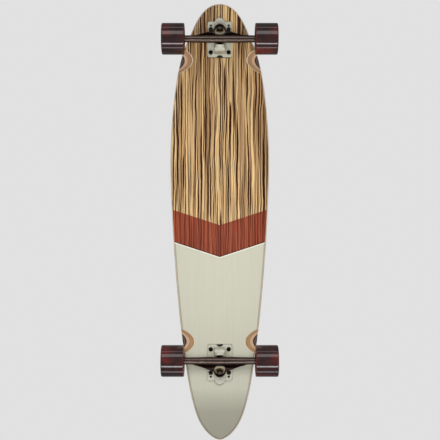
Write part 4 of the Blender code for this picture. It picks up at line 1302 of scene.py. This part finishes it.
        rings = []
        for distance, height in rail:
            left = self.inset(distance)
            right = [Vector((place.x, -place.y)) for place in left[-2:0:-1]]
            rings.append([point(place.x, place.y, height) for place in left + right])
        count = len(rings[0])
        for lower, upper in zip(rings, rings[1:]):
            for index in range(count):
                after = (index + 1) % count
                shape.faces.new((lower[index], upper[index], upper[after], lower[after]))
        last = count // 2
        for ring, (_, height) in ((rings[0], rail[0]), (rings[-1], rail[-1])):
            rows = [[ring[0]] * (self.columns + 1)]
            for index in range(1, last):
                start, end = ring[index], ring[count - index]
                row = [start]
                for column in range(1, self.columns):
                    place = start.co.lerp(end.co, column / self.columns) / MM
                    row.append(point(place.x, place.y, height))
                rows.append(row + [end])
            rows.append([ring[last]] * (self.columns + 1))
            for ahead, behind in zip(rows, rows[1:]):
                for column in range(self.columns):
                    corners = [ahead[column], ahead[column + 1], behind[column + 1], behind[column]]
                    shape.faces.new(list(dict.fromkeys(corners)))
        return from_shape(name, shape)

    def rail(self) -> list[tuple[float, float]]:
        """The rounded rail.

        Returns:
            Its rings as (inset, height), from the underside to the top.
        """
        radius = self.rail_radius
        lower = []
        for step in range(self.rail_steps + 1):
            angle = math.pi / 2 * step / self.rail_steps
            lower.append((radius * (1 - math.sin(angle)), radius * (1 - math.cos(angle))))
        upper = [(inset, self.thickness - height) for inset, height in reversed(lower)]
        return lower + upper


@dataclass
class Deck:
    """The laminated deck, with its wheel wells and countersunk bolt holes."""

    board: Board
    well_reach: float = 29.0
    well_half_length: float = 30.0
    well_depth: float = 7.8
    well_inboard_of_axle: float = 34.0
    hole_radius: float = 2.7
    head_radius: float = 4.9
    head_height: float = 2.6
    drum_rows: int = 30
    drum_steps: int = 288
    sharp_angle: float = 13.0

    def wells(self, trucks: Sequence["Truck"]) -> bpy.types.Object:
        """The sanding drums, one for each wheel's well, tilted down towards the board's middle.

        Args:
            trucks: The trucks whose wheels need room.

        Returns:
            A cutting tool.
        """
        drum = (self.well_half_length**2 + self.well_depth**2) / (2 * self.well_depth)
        # The drum stands out over the board's edge by one more reach, and in past the well by another.
        rows = range(self.drum_rows + 1)
        heights = [self.well_reach * (2 - 3 * row / self.drum_rows) for row in rows]
        section = [(0, heights[0]), *((drum, height) for height in heights), (0, heights[-1])]
        pattern = lathe("well_drum", section, self.drum_steps)
        shape = bmesh.new()
        for truck in trucks:
            x = truck.axle.x / MM - truck.outboard * self.well_inboard_of_axle
            edge = self.board.half_width(x)
            inner = edge - self.well_reach
            for side in Side:
                low = self.board.underside + self.board.rise(x, inner)
                high = self.board.underside + self.board.rise(x, edge) + self.well_depth
                start = Vector((x, side.value * inner, low))
                along = (Vector((x, side.value * edge, high)) - start).normalized()
                across = along.cross(Vector((1, 0, 0)))
                place = Matrix((Vector((1, 0, 0)), across, along)).transposed().to_4x4()
                place.translation = (start + drum * across * side.value) * MM
                moved = pattern.data.copy()
                moved.transform(place)
                shape.from_mesh(moved)
        bpy.data.objects.remove(pattern, do_unlink=True)
        return from_shape("well_drums", shape)

    def holes(self, trucks: Sequence["Truck"]) -> bpy.types.Object:
        """Countersinks and holes for all mounting bolts.

        Args:
            trucks: The trucks that are bolted on.

        Returns:
            A cutting tool.
        """
        top = self.board.underside + self.board.thickness
        above = top + CUT_THROUGH
        below = self.board.underside - CUT_THROUGH
        section = [
            (0, above),
            (self.head_radius, above),
            (self.head_radius, top - GAP),
            (self.hole_radius, top - GAP - self.head_height),
            (self.hole_radius, below),
            (0, below),
        ]
        return at_bolts(lathe("bolt_hole_pattern", section, 24), trucks)

    def measure(self, piece: bpy.types.Object) -> None:
        """Notes how deep each point lies in the plies, and how far in from the edge.

        Args:
            piece: The finished deck.
        """
        mesh = piece.data
        depth = mesh.attributes.new("ply_depth", "FLOAT", "POINT")
        rim = mesh.attributes.new("rim_distance", "FLOAT", "POINT")
        for index, vertex in enumerate(mesh.vertices):
            x, y, z = vertex.co / MM
            depth.data[index].value = z - self.board.underside - self.board.rise(x, y)
            slope = (self.board.half_width(x + 1) - self.board.half_width(x - 1)) / 2
            rim.data[index].value = (self.board.half_width(x) - abs(y)) / math.hypot(1, slope)

    def build(self, trucks: Sequence["Truck"], finish: DeckFinish) -> None:
        """Makes the deck.

        Args:
            trucks: The trucks that it carries.
            finish: Its veneer, paint and plies.
        """
        piece = self.board.loft("deck_board", self.board.rail(), self.board.underside)
        cut(piece, self.wells(trucks))
        cut(piece, self.holes(trucks))
        piece.data.shade_smooth()
        piece.data.set_sharp_from_angle(angle=math.radians(self.sharp_angle))
        even = piece.modifiers.new("Even shading", "WEIGHTED_NORMAL")
        even.keep_sharp = True
        settle(piece)
        self.measure(piece)
        fit(piece, "deck", finish)


@dataclass
class GripSheet:
    """The sanded sheet on the deck's top, with a hole over each bolt."""

    board: Board
    inset: float = 3.2
    thickness: float = 0.9
    edge: float = 0.25
    hole_radius: float = 4.9

    def build(self, trucks: Sequence["Truck"], finish: Finish) -> None:
        """Makes the sheet.

        Args:
            trucks: The trucks whose bolts come up through it.
            finish: Its grit.
        """
        rings = [
            (self.inset, GAP),
            (self.inset, GAP + self.thickness - self.edge),
            (self.inset + self.edge, GAP + self.thickness),
        ]
        top = self.board.underside + self.board.thickness
        piece = self.board.loft("grip_sheet", rings, top)
        above = top + CUT_THROUGH
        below = top - CUT_THROUGH
        section = [(0, above), (self.hole_radius, above), (self.hole_radius, below), (0, below)]
        cut(piece, at_bolts(lathe("punch", section, 32), trucks))
        fit(piece, "grip_tape", finish)


# Small turned parts


@dataclass
class LockNut:
    """A hexagonal nut with a nylon ring in its collar, in millimetres."""

    flats: float
    height: float
    bore: float
    collar: float
    chamfer: tuple[float, float, float] = (0.12, 0.45, 0.9)
    face_share: float = 0.96
    lip_share: float = 0.8
    nylon_share: float = 0.82

    def piece(self, name: str) -> bpy.types.Object:
        """The nut, standing on Z = 0 with its collar up.

        Args:
            name: The new object's name.

        Returns:
            The nut, with a slot for its steel and one for its nylon.
        """
        corner = self.flats / math.sqrt(3)
        flat = self.flats / 2
        halfway = (flat + corner) / 2
        face = flat * self.face_share
        start, middle, end = self.chamfer
        hex_top = self.height - self.collar
        lip = flat * self.lip_share
        nylon = lip * self.nylon_share
        section = [
            (nylon, self.height, 0.1),
            (lip, self.height, 0.35),
            (lip + 0.15, hex_top + 0.1, 0.1),
            (face, hex_top),
            (flat, hex_top - start),
            (halfway, hex_top - middle),
            (corner, hex_top - end),
            (corner, end),
            (halfway, middle),
            (flat, start),
            (face, 0),
            (self.bore + 0.5, 0),
            (self.bore, 0.5),
            (self.bore, self.height - 0.5),
            (nylon, self.height - 0.35),
        ]

        def band(radius: float, height: float) -> int:
            """Nylon inside the collar, steel elsewhere."""
            inner = radius < lip * 0.8 and height > self.height - self.collar * 0.8
            return 1 if inner else 0

        return lathe(name, section, 48, True, hexagon(self.flats), band)


@dataclass
class Bolt:
    """A countersunk mounting bolt with a cross recess, in millimetres from the baseplate's top."""

    radius: float = 2.4
    head_radius: float = 4.6
    head_height: float = 2.6
    top: float = 15.1
    tail: float = -12.1
    thread: float = 3.2
    pitch: float = 0.8
    recess_reach: float = 2.7
    recess_width: float = 0.9
    recess_depth: float = 1.9
    recess_taper: tuple[float, float] = (1.2, 0.6)

    def recess(self) -> bpy.types.Object:
        """The driver's cross, tapering towards its foot.

        Returns:
            A cutting tool.
        """
        half = self.recess_width / 2
        arm = ((self.recess_reach, -half), (self.recess_reach, half), (half, half))
        shape = bmesh.new()
        rings = []
        mouth, foot = self.recess_taper
        for height, share in ((self.top + 1, mouth), (self.top - self.recess_depth, foot)):
            ring = []
            for turn in range(4):
                spin = Matrix.Rotation(math.radians(90 * turn), 3, "Z")
                ring += [spin @ Vector((x * share, y * share, height)) for x, y in arm]
            rings.append([shape.verts.new(corner * MM) for corner in ring])
        for index in range(12):
            after = (index + 1) % 12
            shape.faces.new((rings[0][index], rings[1][index], rings[1][after], rings[0][after]))
        for ring in rings:
            shape.faces.new(ring)
        return from_shape("driver_cross", shape)

    def piece(self, name: str) -> bpy.types.Object:
        """The bolt, head up.

        Args:
            name: The new object's name.

        Returns:
            The bolt.
        """
        low = self.tail + 0.6
        high = self.tail + self.thread
        section = [(0, self.top), (self.head_radius, self.top, 0.15)]
        section += [(self.radius, self.top - self.head_height, 0.3)]
        section += thread_rows(self.radius, low, high, self.pitch)
        section += [(self.radius - 0.5, self.tail, 0.2), (0, self.tail)]
        relief = screw_thread(self.radius, low, high, self.pitch)
        bolt = lathe(name, section, 32, False, relief)
        return cut(bolt, self.recess())


@dataclass
class Bearing:
    """A shielded ball bearing, in millimetres."""

    radius: float = 11.0
    width: float = 7.0
    bore: float = 4.3
    outer_race: float = 9.5
    inner_race: float = 6.3
    recess: float = 0.4
    shield_lip: float = 0.7
    shield_step: float = 0.12

    def piece(self, name: str) -> bpy.types.Object:
        """The bearing round Z.

        Args:
            name: The new object's name.

        Returns:
            The bearing, with a slot for its races and one for its shields.
        """
        half = self.width / 2
        face = half - self.recess
        upper = [
            (self.outer_race, face + self.shield_step, 0.1),
            (self.outer_race, half, 0.15),
            (self.radius, half, 0.35),
        ]
        inner = [(self.bore, half, 0.3), (self.inner_race, half, 0.15), (self.inner_race, face, 0.1)]
        lip = self.inner_race + self.shield_lip
        step = [(lip, face, 0.1), (lip, face + self.shield_step, 0.1)]
        side = inner + step + upper
        section = side + [(corner[0], -corner[1], *corner[2:]) for corner in reversed(side)]

        def band(radius: float, height: float) -> int:
            """Rubber between the races, steel elsewhere."""
            between = self.inner_race < radius < self.outer_race - 0.01
            return 1 if between and abs(height) < half - 0.1 else 0

        return lathe(name, section, 64, True, None, band)


# Trucks


@dataclass
class Truck:
    """One reverse-kingpin truck. Places along the kingpin are in millimetres from the ring's middle."""

    end: End
    bolt_long: float = 54.0
    bolt_wide: float = 41.3
    bolt_turns: tuple[float, ...] = (17, 66, 115, 164)
    axle_inboard_of_bolts: float = 8.5
    base_height: float = 97.0
    plate_thickness: float = 5.0
    kingpin_radius: float = 4.76
    bore: float = 5.06
    ring_web_half: float = 3.5
    bushing_radius: float = 12.0
    bushing_flare: float = 1.3
    boardside_bushing: float = 12.7
    roadside_bushing: float = 8.5
    washer_thickness: float = 1.5
    boardside_washer_radius: float = 12.3
    cup_radius: float = 10.2
    cup_wall: float = 1.0
    cup_rim: float = 2.6
    seat_web: float = 6.9
    head_flats: float = 14.3
    head_height: float = 5.0
    nut_height: float = 5.0
    nut_collar: float = 1.4
    kingpin_tail: float = 1.4
    pitch: float = 1.25
    pivot_reach: float = 37.0
    pivot_ball: float = 4.75
    cup_outer: float = 7.45
    cup_depth: float = 8.0
    axle_radius: float = 4.0
    axle_thread: float = 9.0

    def __post_init__(self) -> None:
        """Reads the steering axis and the axle off the frame's joints."""
        steer = JOINTS[f"{self.end.value}_steer"]
        spins = [JOINTS[f"{self.end.value}_{side.name.lower()}_spin"] for side in Side]
        self.ring = Vector(steer["pos_m"])
        self.axis = Vector(steer["axis"]).normalized()
        self.outboard = 1 if self.axis.x > 0 else -1
        self.axle = sum((Vector(spin["pos_m"]) for spin in spins), Vector()) / 2
        self.down_kingpin = Vector((self.axis.z, 0, -self.axis.x)) * self.outboard
        self.kingpin_frame = self.frame_along(self.ring, self.down_kingpin)
        self.bolts_x = self.axle.x / MM + self.outboard * self.axle_inboard_of_bolts
        self.washer_at = self.ring_web_half + 2 * GAP + self.roadside_bushing
        self.nut_at = self.washer_at + self.washer_thickness + GAP
        self.low_washer_at = -self.ring_web_half - 2 * GAP - self.boardside_bushing
        self.head_at = self.low_washer_at - self.washer_thickness - 2 * GAP - self.seat_web

    def frame_along(self, origin: Vector, z_axis: Vector) -> Matrix:
        """A frame whose Z lies in the board's middle plane.

        Args:
            origin: The frame's origin, in metres.
            z_axis: Its Z axis.

        Returns:
            The frame's matrix.
        """
        across = Vector((0, self.outboard, 0))
        matrix = Matrix((across.cross(z_axis), across, z_axis)).transposed().to_4x4()
        matrix.translation = origin
        return matrix

    def along_kingpin(self, distance: float) -> Matrix:
        """A frame on the kingpin, that far towards the road."""
        return self.kingpin_frame @ Matrix.Translation((0, 0, distance * MM))

    def bolt_places(self) -> list[Vector]:
        """Where the four mounting bolts are.

        Returns:
            Their places in metres, at the height of the baseplate's top.
        """
        places = []
        for long, wide in ((1, 1), (1, -1), (-1, 1), (-1, -1)):
            x = self.bolts_x + self.outboard * long * self.bolt_long / 2
            y = self.outboard * wide * self.bolt_wide / 2
            places.append(Vector((x, y, self.base_height)) * MM)
        return places

    def node(self, part: str) -> str:
        """The name of one of this truck's CAD nodes."""
        return f"{self.end.value}_{part}"

    def turned(self, part: str, piece: bpy.types.Object, place: Matrix, *finishes: Finish) -> None:
        """Places a piece that was turned round its own Z, and puts it on its body."""
        piece.matrix_world = place
        fit(piece, self.node(part), *finishes)

    def ribs(self) -> list[list[Vector]]:
        """The ribs under the hanger's wings, which carry their tips down to the bar.

        Returns:
            The corners of each rib, in metres.
        """
        # In millimetres outboard of the bolts' middle, out from the board's, and up from the base.
        wing = ((3.3, 57.0, -32.6), (6.0, 57.0, -35.2), (6.0, 33.0, -27.0), (12.0, 33.0, -31.5))
        bar = ((-11.5, 72.0, -59.5), (-5.0, 72.0, -64.0), (-11.5, 33.0, -59.5), (-5.0, 33.0, -64.0))
        ribs = []
        for side in Side:
            rib = []
            for x, y, z in wing + bar:
                place = (self.bolts_x + self.outboard * x, side.value * y, self.base_height + z)
                rib.append(Vector(place) * MM)
            ribs.append(rib)
        return ribs

    def castings(self) -> None:
        """The baseplate and the hanger."""
        node = self.node("baseplate")
        plate = casting(node + "_casting", node, voxel=0.6, passes=5, keep=0.4)
        fit(plate, node, PALE_PAINT)
        node = self.node("hanger")
        hanger = casting(node + "_casting", node, voxel=0.45, passes=22, keep=0.25, ribs=self.ribs())
        fit(hanger, node, DARK_BRONZE)

    def riser(self) -> None:
        """The rubber pad: the CAD node itself, with its edges eased."""
        node = frame["nodes"][self.node("riser_pad")]
        ease = node.modifiers.new("Eased edges", "BEVEL")
        ease.width = 0.35 * MM
        ease.segments = 2
        ease.angle_limit = math.radians(50)
        node.data.materials.clear()
        node.data.materials.append(RUBBER.material())
        log.info("%s: CAD mesh, %s", node.name, RUBBER.name)

    def pivot(self) -> None:
        """The cup that the hanger's pivot turns in."""
        ball = self.ring - self.axis * self.pivot_reach * MM
        toward = (ball - self.axle).normalized()
        hollow = self.pivot_ball + GAP
        section = [
            (0, self.cup_depth),
            (self.cup_outer, self.cup_depth, 0.6),
            (self.cup_outer, 0, 0.4),
            (hollow, 0, 0.3),
        ]
        for angle in (15, 30, 45, 60, 75):
            turn = math.radians(angle)
            section.append((hollow * math.cos(turn), hollow * math.sin(turn)))
        section.append((0, hollow))
        cup = lathe(self.node("pivot_cup_moulding"), section)
        self.turned("pivot_cup", cup, self.frame_along(ball, toward), ACETAL)

    def kingpin(self) -> None:
        """The kingpin, with its hexagonal head, its threaded end and its lock nut."""
        end = self.nut_at + self.nut_height + self.kingpin_tail
        corner = self.head_flats / math.sqrt(3)
        flat = self.head_flats / 2
        top = self.head_at - GAP
        foot = top - self.head_height
        thread = (self.kingpin_radius, self.washer_at, end - 0.7, self.pitch)
        section = [(0, end), (self.kingpin_radius - 0.8, end, 0.3)]
        section += thread_rows(*thread)
        section += [
            (self.kingpin_radius, top, 0.3),
            (flat * 0.96, top),
            (corner, top - 0.2),
            (corner, foot + 0.9),
            ((flat + corner) / 2, foot + 0.4),
            (flat * 0.95, foot),
            (0, foot),
        ]
        clip = hexagon(self.head_flats)
        groove = screw_thread(*thread)

        def relief(angle: float, radius: float, height: float) -> float:
            """The hexagon for the head and the thread for the end."""
            return min(clip(angle, radius, height), groove(angle, radius, height))

        half_flat = Matrix.Rotation(math.radians(30), 4, "Z")
        pin = lathe(self.node("kingpin_bolt"), section, 48, False, relief)
        self.turned("kingpin", pin, self.kingpin_frame @ half_flat, DULL_STEEL)
        lock_nut = LockNut(self.head_flats, self.nut_height, self.bore, self.nut_collar)
        nut = lock_nut.piece(self.node("kingpin_locknut"))
        self.turned("kingpin_nut", nut, self.along_kingpin(self.nut_at), BLACK_STEEL, NYLON)

    def washers(self) -> None:
        """The flat washer on the board's side and the cup washer on the road's."""
        thick = self.washer_thickness
        flat = [
            (self.boardside_washer_radius, thick, 0.5),
            (self.boardside_washer_radius, 0, 0.5),
            (self.bore, 0, 0.3),
            (self.bore, thick, 0.3),
        ]
        low = lathe(self.node("flat_washer"), flat, closed=True)
        self.turned("washer_boardside", low, self.along_kingpin(self.low_washer_at - thick), ZINC)
        inside = self.cup_radius - self.cup_wall
        cup = [
            (inside, self.cup_rim, 0.4),
            (self.cup_radius, self.cup_rim, 0.4),
            (self.cup_radius, 0, 1.4),
            (self.bore, 0, 0.3),
            (self.bore, thick, 0.3),
            (inside, thick, 0.8),
        ]
        high = lathe(self.node("cup_washer"), cup, closed=True)
        self.turned("washer_roadside", high, self.along_kingpin(self.washer_at), GOLD_ZINC)

    def bushings(self) -> None:
        """The two urethane bushings, barrelled by their load."""
        sides = (
            ("bushing_boardside", self.boardside_bushing, self.low_washer_at + GAP, True),
            ("bushing_roadside", self.roadside_bushing, self.ring_web_half + GAP, False),
        )
        for part, height, start, ring_on_top in sides:
            rim = self.bushing_radius
            wide_bore = self.bore + self.bushing_flare
            top_bore, foot_bore = (wide_bore, self.bore) if ring_on_top else (self.bore, wide_bore)
            section = [
                (top_bore, height, 0.3),
                (rim - 0.7, height, 0.7),
                (rim, height * 0.72, 2.5),
                (rim, height * 0.28, 2.5),
                (rim - 0.7, 0, 0.7),
                (foot_bore, 0, 0.3),
            ]
            bushing = lathe(self.node(part + "_urethane"), section, closed=True)
            bushing.matrix_world = self.along_kingpin(start)
            fit(bushing, self.node(part), BUSHING, rides=False)
            ends = [self.along_kingpin(place).translation for place in (start, start + height)]
            washer_end, ring_end = ends if ring_on_top else reversed(ends)
            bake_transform(bushing)
            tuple(washer_end)
            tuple(ring_end)

    def axle_rod(self) -> None:
        """The axle, with a thread at each end."""
        low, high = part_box(self.node("axle"))
        half = (high.y - low.y) / 2 / MM
        upper = (self.axle_radius, half - self.axle_thread, half - 0.5, self.pitch)
        lower = (self.axle_radius, 0.5 - half, self.axle_thread - half, self.pitch)
        grooves = (screw_thread(*upper), screw_thread(*lower))

        def relief(angle: float, radius: float, height: float) -> float:
            """The thread at either end."""
            return min(groove(angle, radius, height) for groove in grooves)

        section = [(0, half), (self.axle_radius - 0.6, half, 0.2)]
        section += thread_rows(*upper) + thread_rows(*lower)
        section += [(self.axle_radius - 0.6, -half, 0.2), (0, -half)]
        rod = lathe(self.node("axle_rod"), section, 32, False, relief)
        along = Matrix.Translation(self.axle) @ Matrix.Rotation(-math.pi / 2, 4, "X")
        self.turned("axle", rod, along, ZINC)

    def bolts(self) -> None:
        """The four mounting bolts and their lock nuts."""
        pattern = Bolt().piece("bolt_pattern")
        nut_pattern = LockNut(flats=9.5, height=4.6, bore=2.4, collar=1.3).piece("lock_nut_pattern")
        turn_over = Matrix.Rotation(math.pi, 4, "X")
        drop = Matrix.Translation((0, 0, (-self.plate_thickness - GAP) * MM))
        for index, place in enumerate(self.bolt_places()):
            node = self.node(f"mount_bolt_{index + 1}")
            spin = Matrix.Rotation(math.radians(self.bolt_turns[index]), 4, "Z")
            bolt = shown(node + "_screw", pattern.data.copy())
            bolt.matrix_world = Matrix.Translation(place) @ spin
            fit(bolt, node, BLACK_STEEL)
            nut = shown(node + "_locknut", nut_pattern.data.copy())
            nut.matrix_world = Matrix.Translation(place) @ drop @ turn_over @ spin
            fit(nut, node, BLACK_STEEL, NYLON)
        bpy.data.objects.remove(pattern, do_unlink=True)
        bpy.data.objects.remove(nut_pattern, do_unlink=True)

    def build(self) -> None:
        """Makes every piece of the truck."""
        self.castings()
        self.riser()
        self.pivot()
        self.kingpin()
        self.washers()
        self.bushings()
        self.axle_rod()
        self.bolts()


# Wheels


@dataclass
class Wheel:
    """One wheel with what holds it on the axle, in millimetres. Its Z points outboard."""

    truck: Truck
    side: Side
    radius: float = 35.0
    width: float = WHEEL_WIDTH
    lip: float = 3.2
    face_radius: float = 26.0
    hub_radius: float = 14.5
    seat_radius: float = 11.3
    seat_end: float = 12.6
    shoulder: float = 4.7
    core: float = 7.6
    axle_bore: float = 4.3
    bearing_width: float = 7.0
    spacer: float = 10.0
    spacer_radius: float = 5.6
    ring_radius: float = 6.2
    ring_thickness: float = 1.0
    hanger_half: float = 91.0
    nut_flats: float = 12.7
    nut_height: float = 6.0
    nut_collar: float = 1.8

    def __post_init__(self) -> None:
        """Reads the wheel's place off its joint."""
        self.name = f"{self.truck.end.value}_{self.side.name.lower()}"
        self.centre = Vector(JOINTS[self.name + "_spin"]["pos_m"])
        self.outboard = Matrix.Rotation(-math.pi / 2 * self.side.value, 4, "X")
        self.from_middle = abs(self.centre.y) / MM

    def along(self, distance: float) -> Matrix:
        """A frame on the axle, that far outboard of the wheel's middle."""
        shift = Matrix.Translation((0, 0, distance * MM))
        return Matrix.Translation(self.centre) @ self.outboard @ shift

    def tyre(self) -> None:
        """The urethane wheel with its nylon hub."""
        half = self.width / 2
        outer = [
            (self.face_radius, half, 1.6),
            (self.radius, half, self.lip),
        ]
        hollow = [
            (self.core, self.shoulder, 0.3),
            (self.seat_radius, self.shoulder, 0.2),
            (self.seat_radius, self.seat_end, 0.4),
            (self.hub_radius - 0.4, self.seat_end, 0.4),
            (self.hub_radius, self.seat_end - 0.5, 0.2),
            (self.hub_radius + 1.4, self.seat_end - 0.3, 1.0),
        ]
        side = hollow + outer
        section = side + [(corner[0], -corner[1], *corner[2:]) for corner in reversed(side)]

        def band(radius: float, height: float) -> int:
            """Nylon in the hub, urethane elsewhere."""
            return 1 if radius < self.hub_radius else 0

        piece = lathe(self.name + "_urethane_wheel", section, 112, True, None, band)
        piece.matrix_world = self.along(0)
        fit(piece, self.name + "_wheel", DARK_RED_URETHANE, HUB)

    def bearings(self) -> None:
        """The two bearings and the spacer between them."""
        offset = (self.spacer + self.bearing_width) / 2 + GAP
        for face in Face:
            where = face.name.lower()
            piece = Bearing().piece(f"{self.name}_ball_bearing_{where}")
            piece.matrix_world = self.along(face.value * offset)
            fit(piece, f"{self.name}_bearing_{where}", RACE_STEEL, SHIELD)
        start = -self.spacer / 2
        self.steel_ring("spacer_tube", "bearing_spacer", self.spacer_radius, self.spacer, start)

    def steel_ring(self, label: str, part: str, radius: float, thickness: float, start: float) -> None:
        """A plain steel ring round the axle.

        Args:
            label: The new piece's name, without the wheel's.
            part: The CAD node's name, without the wheel's.
            radius: Its radius.
            thickness: Its length along the axle.
            start: Where it starts, outboard of the wheel's middle.
        """
        section = [
            (radius, thickness, 0.2),
            (radius, 0, 0.2),
            (self.axle_bore, 0, 0.2),
            (self.axle_bore, thickness, 0.2),
        ]
        piece = lathe(f"{self.name}_{label}", section, 48, closed=True)
        piece.matrix_world = self.along(start)
        fit(piece, f"{self.name}_{part}", ZINC)

    def axle_hardware(self) -> None:
        """Speed rings and the axle nut."""
        stack = self.spacer + 2 * self.bearing_width + 2 * GAP
        inboard = self.hanger_half + GAP - self.from_middle
        outboard = stack / 2 + GAP
        for where, start in (("inboard", inboard), ("outboard", outboard)):
            label = where + "_speed_ring"
            part = "speed_ring_" + where
            self.steel_ring(label, part, self.ring_radius, self.ring_thickness, start)
        lock_nut = LockNut(self.nut_flats, self.nut_height, self.axle_bore, self.nut_collar)
        nut = lock_nut.piece(self.name + "_axle_locknut")
        nut.matrix_world = self.along(outboard + self.ring_thickness + GAP)
        fit(nut, self.name + "_axle_nut", BLACK_STEEL, NYLON)

    def build(self) -> None:
        """Makes every piece of the wheel."""
        self.tyre()
        self.bearings()
        self.axle_hardware()


# Studio


@dataclass(frozen=True)
class Softbox:
    """A rectangular studio light, in metres and watts."""

    name: str
    place: tuple[float, float, float]
    target: tuple[float, float, float]
    size: tuple[float, float]
    power: float
    gloss: bool = True
    diffuse: bool = True

    def build(self) -> None:
        """Hangs the light."""
        lamp = bpy.data.lights.new(self.name, "AREA")
        lamp.shape = "RECTANGLE"
        lamp.size, lamp.size_y = self.size
        lamp.energy = self.power
        light = bpy.data.objects.new(self.name, lamp)
        bpy.context.scene.collection.objects.link(light)
        light.location = self.place
        toward = Vector(self.target) - Vector(self.place)
        light.rotation_mode = "QUATERNION"
        light.rotation_quaternion = toward.to_track_quat("-Z", "Y")
        light.visible_camera = False
        light.visible_glossy = self.gloss
        light.visible_diffuse = self.diffuse


@dataclass
class Studio:
    """A pale floor and backdrop, soft light from above and below, and the photograph's camera."""

    backdrop: Colour = shade(225, 225, 225)
    ambient: Colour = (0.23, 0.23, 0.233)
    floor_size: float = 12.0
    floor_glow: float = 0.69
    camera_place: tuple[float, float, float] = (-0.0339, 0.0005, -1.8207)
    camera_tilt: float = 1.122
    lens: float = 67.763
    sensor: float = 36.0

    def world(self) -> None:
        """The backdrop that the camera sees, and the dimmer light that it gives."""
        world = bpy.data.worlds.new("studio")
        world.use_nodes = True
        bpy.context.scene.world = world
        graph = Graph(world.node_tree)
        output = world.node_tree.nodes["World Output"]
        seen = graph.add("Background", {"Color": self.backdrop})
        light = graph.add("Background", {"Color": self.ambient})
        camera = graph.add("LightPath").outputs["Is Camera Ray"]
        both = graph.add("MixShader", {0: camera, 1: light.outputs[0], 2: seen.outputs[0]})
        graph.feed(output.inputs["Surface"], both.outputs[0])
        bpy.context.scene.view_settings.view_transform = "Standard"

    def floor(self) -> None:
        """A pale floor that shows only from above, so that the photograph's view is open."""
        shape = bmesh.new()
        bmesh.ops.create_grid(shape, x_segments=8, y_segments=8, size=self.floor_size / 2)
        ground = from_shape("floor", shape)
        made = bpy.data.materials.new("pale_floor")
        made.use_nodes = True
        graph = Graph(made.node_tree)
        shader = made.node_tree.nodes["Principled BSDF"]
        cloud = graph.noise(graph.place(), 3.0, 3)
        grey = graph.mix(cloud, shade(132, 132, 131), shade(126, 126, 125))
        graph.feed(shader.inputs["Base Color"], grey)
        shader.inputs["Roughness"].default_value = 0.9
        shader.inputs["Emission Color"].default_value = (1, 1, 1, 1)
        shader.inputs["Emission Strength"].default_value = self.floor_glow
        behind = graph.add("NewGeometry").outputs["Backfacing"]
        clear = graph.add("BsdfTransparent")
        both = graph.add("MixShader", {0: behind, 1: shader.outputs[0], 2: clear.outputs[0]})
        graph.feed(made.node_tree.nodes["Material Output"].inputs["Surface"], both.outputs[0])
        ground.data.materials.append(made)
        ground.visible_shadow = False
        ground.visible_diffuse = False
        ground.visible_glossy = False

    def lights(self) -> None:
        """Soft light on the underside, strip lights for the metal, and soft light from above."""
        under = (0.0, 0.0, 0.1)
        boxes = (
            Softbox("underside_fill", (-0.03, 0.0, -0.95), under, (0.5, 0.6), 9.4, gloss=False),
            Softbox("tail_strip", (-1.4, 0.0, -1.6), under, (2.6, 0.32), 26.0, diffuse=False),
            Softbox("far_tail_strip", (-3.4, 0.0, -0.6), under, (3.0, 0.5), 16.0, diffuse=False),
            Softbox("nose_box", (1.5, 0.0, -1.6), under, (2.6, 0.9), 18.0, diffuse=False),
            Softbox("far_nose_strip", (3.4, 0.0, -0.6), under, (3.0, 0.5), 6.0, diffuse=False),
            Softbox("overhead", (0.3, -0.5, 1.9), under, (1.8, 1.4), 42.0, gloss=False),
            Softbox("side_fill", (-1.4, 1.6, 0.9), under, (1.2, 1.0), 16.0, gloss=False),
        )
        for box in boxes:
            box.build()

    def camera(self) -> None:
        """The photograph's camera, below the board with the nose at the top, tilted a little to it."""
        data = bpy.data.cameras.new("photograph")
        data.lens = self.lens
        data.sensor_width = self.sensor
        camera = bpy.data.objects.new("photograph", data)
        bpy.context.scene.collection.objects.link(camera)
        turn = Matrix(((0, 1, 0), (1, 0, 0), (0, 0, -1))).to_4x4()
        tilt = Matrix.Rotation(math.radians(self.camera_tilt), 4, "X")
        camera.matrix_world = Matrix.Translation(self.camera_place) @ turn @ tilt
        bpy.context.scene.camera = camera

    def build(self) -> None:
        """Makes the whole studio."""
        self.world()
        self.floor()
        self.lights()
        self.camera()


def main() -> None:
    """Builds the studio, trucks, wheels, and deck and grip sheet."""
    logging.basicConfig(level=logging.INFO, format="%(message)s")
    Studio().build()
    trucks = [Truck(end) for end in End]
    for truck in trucks:
        truck.build()
        for side in Side:
            Wheel(truck, side).build()
    board = Board()
    Deck(board).build(trucks, ZEBRA_WOOD)
    GripSheet(board).build(trucks, GRIP)


if __name__ == "__main__":
    main()
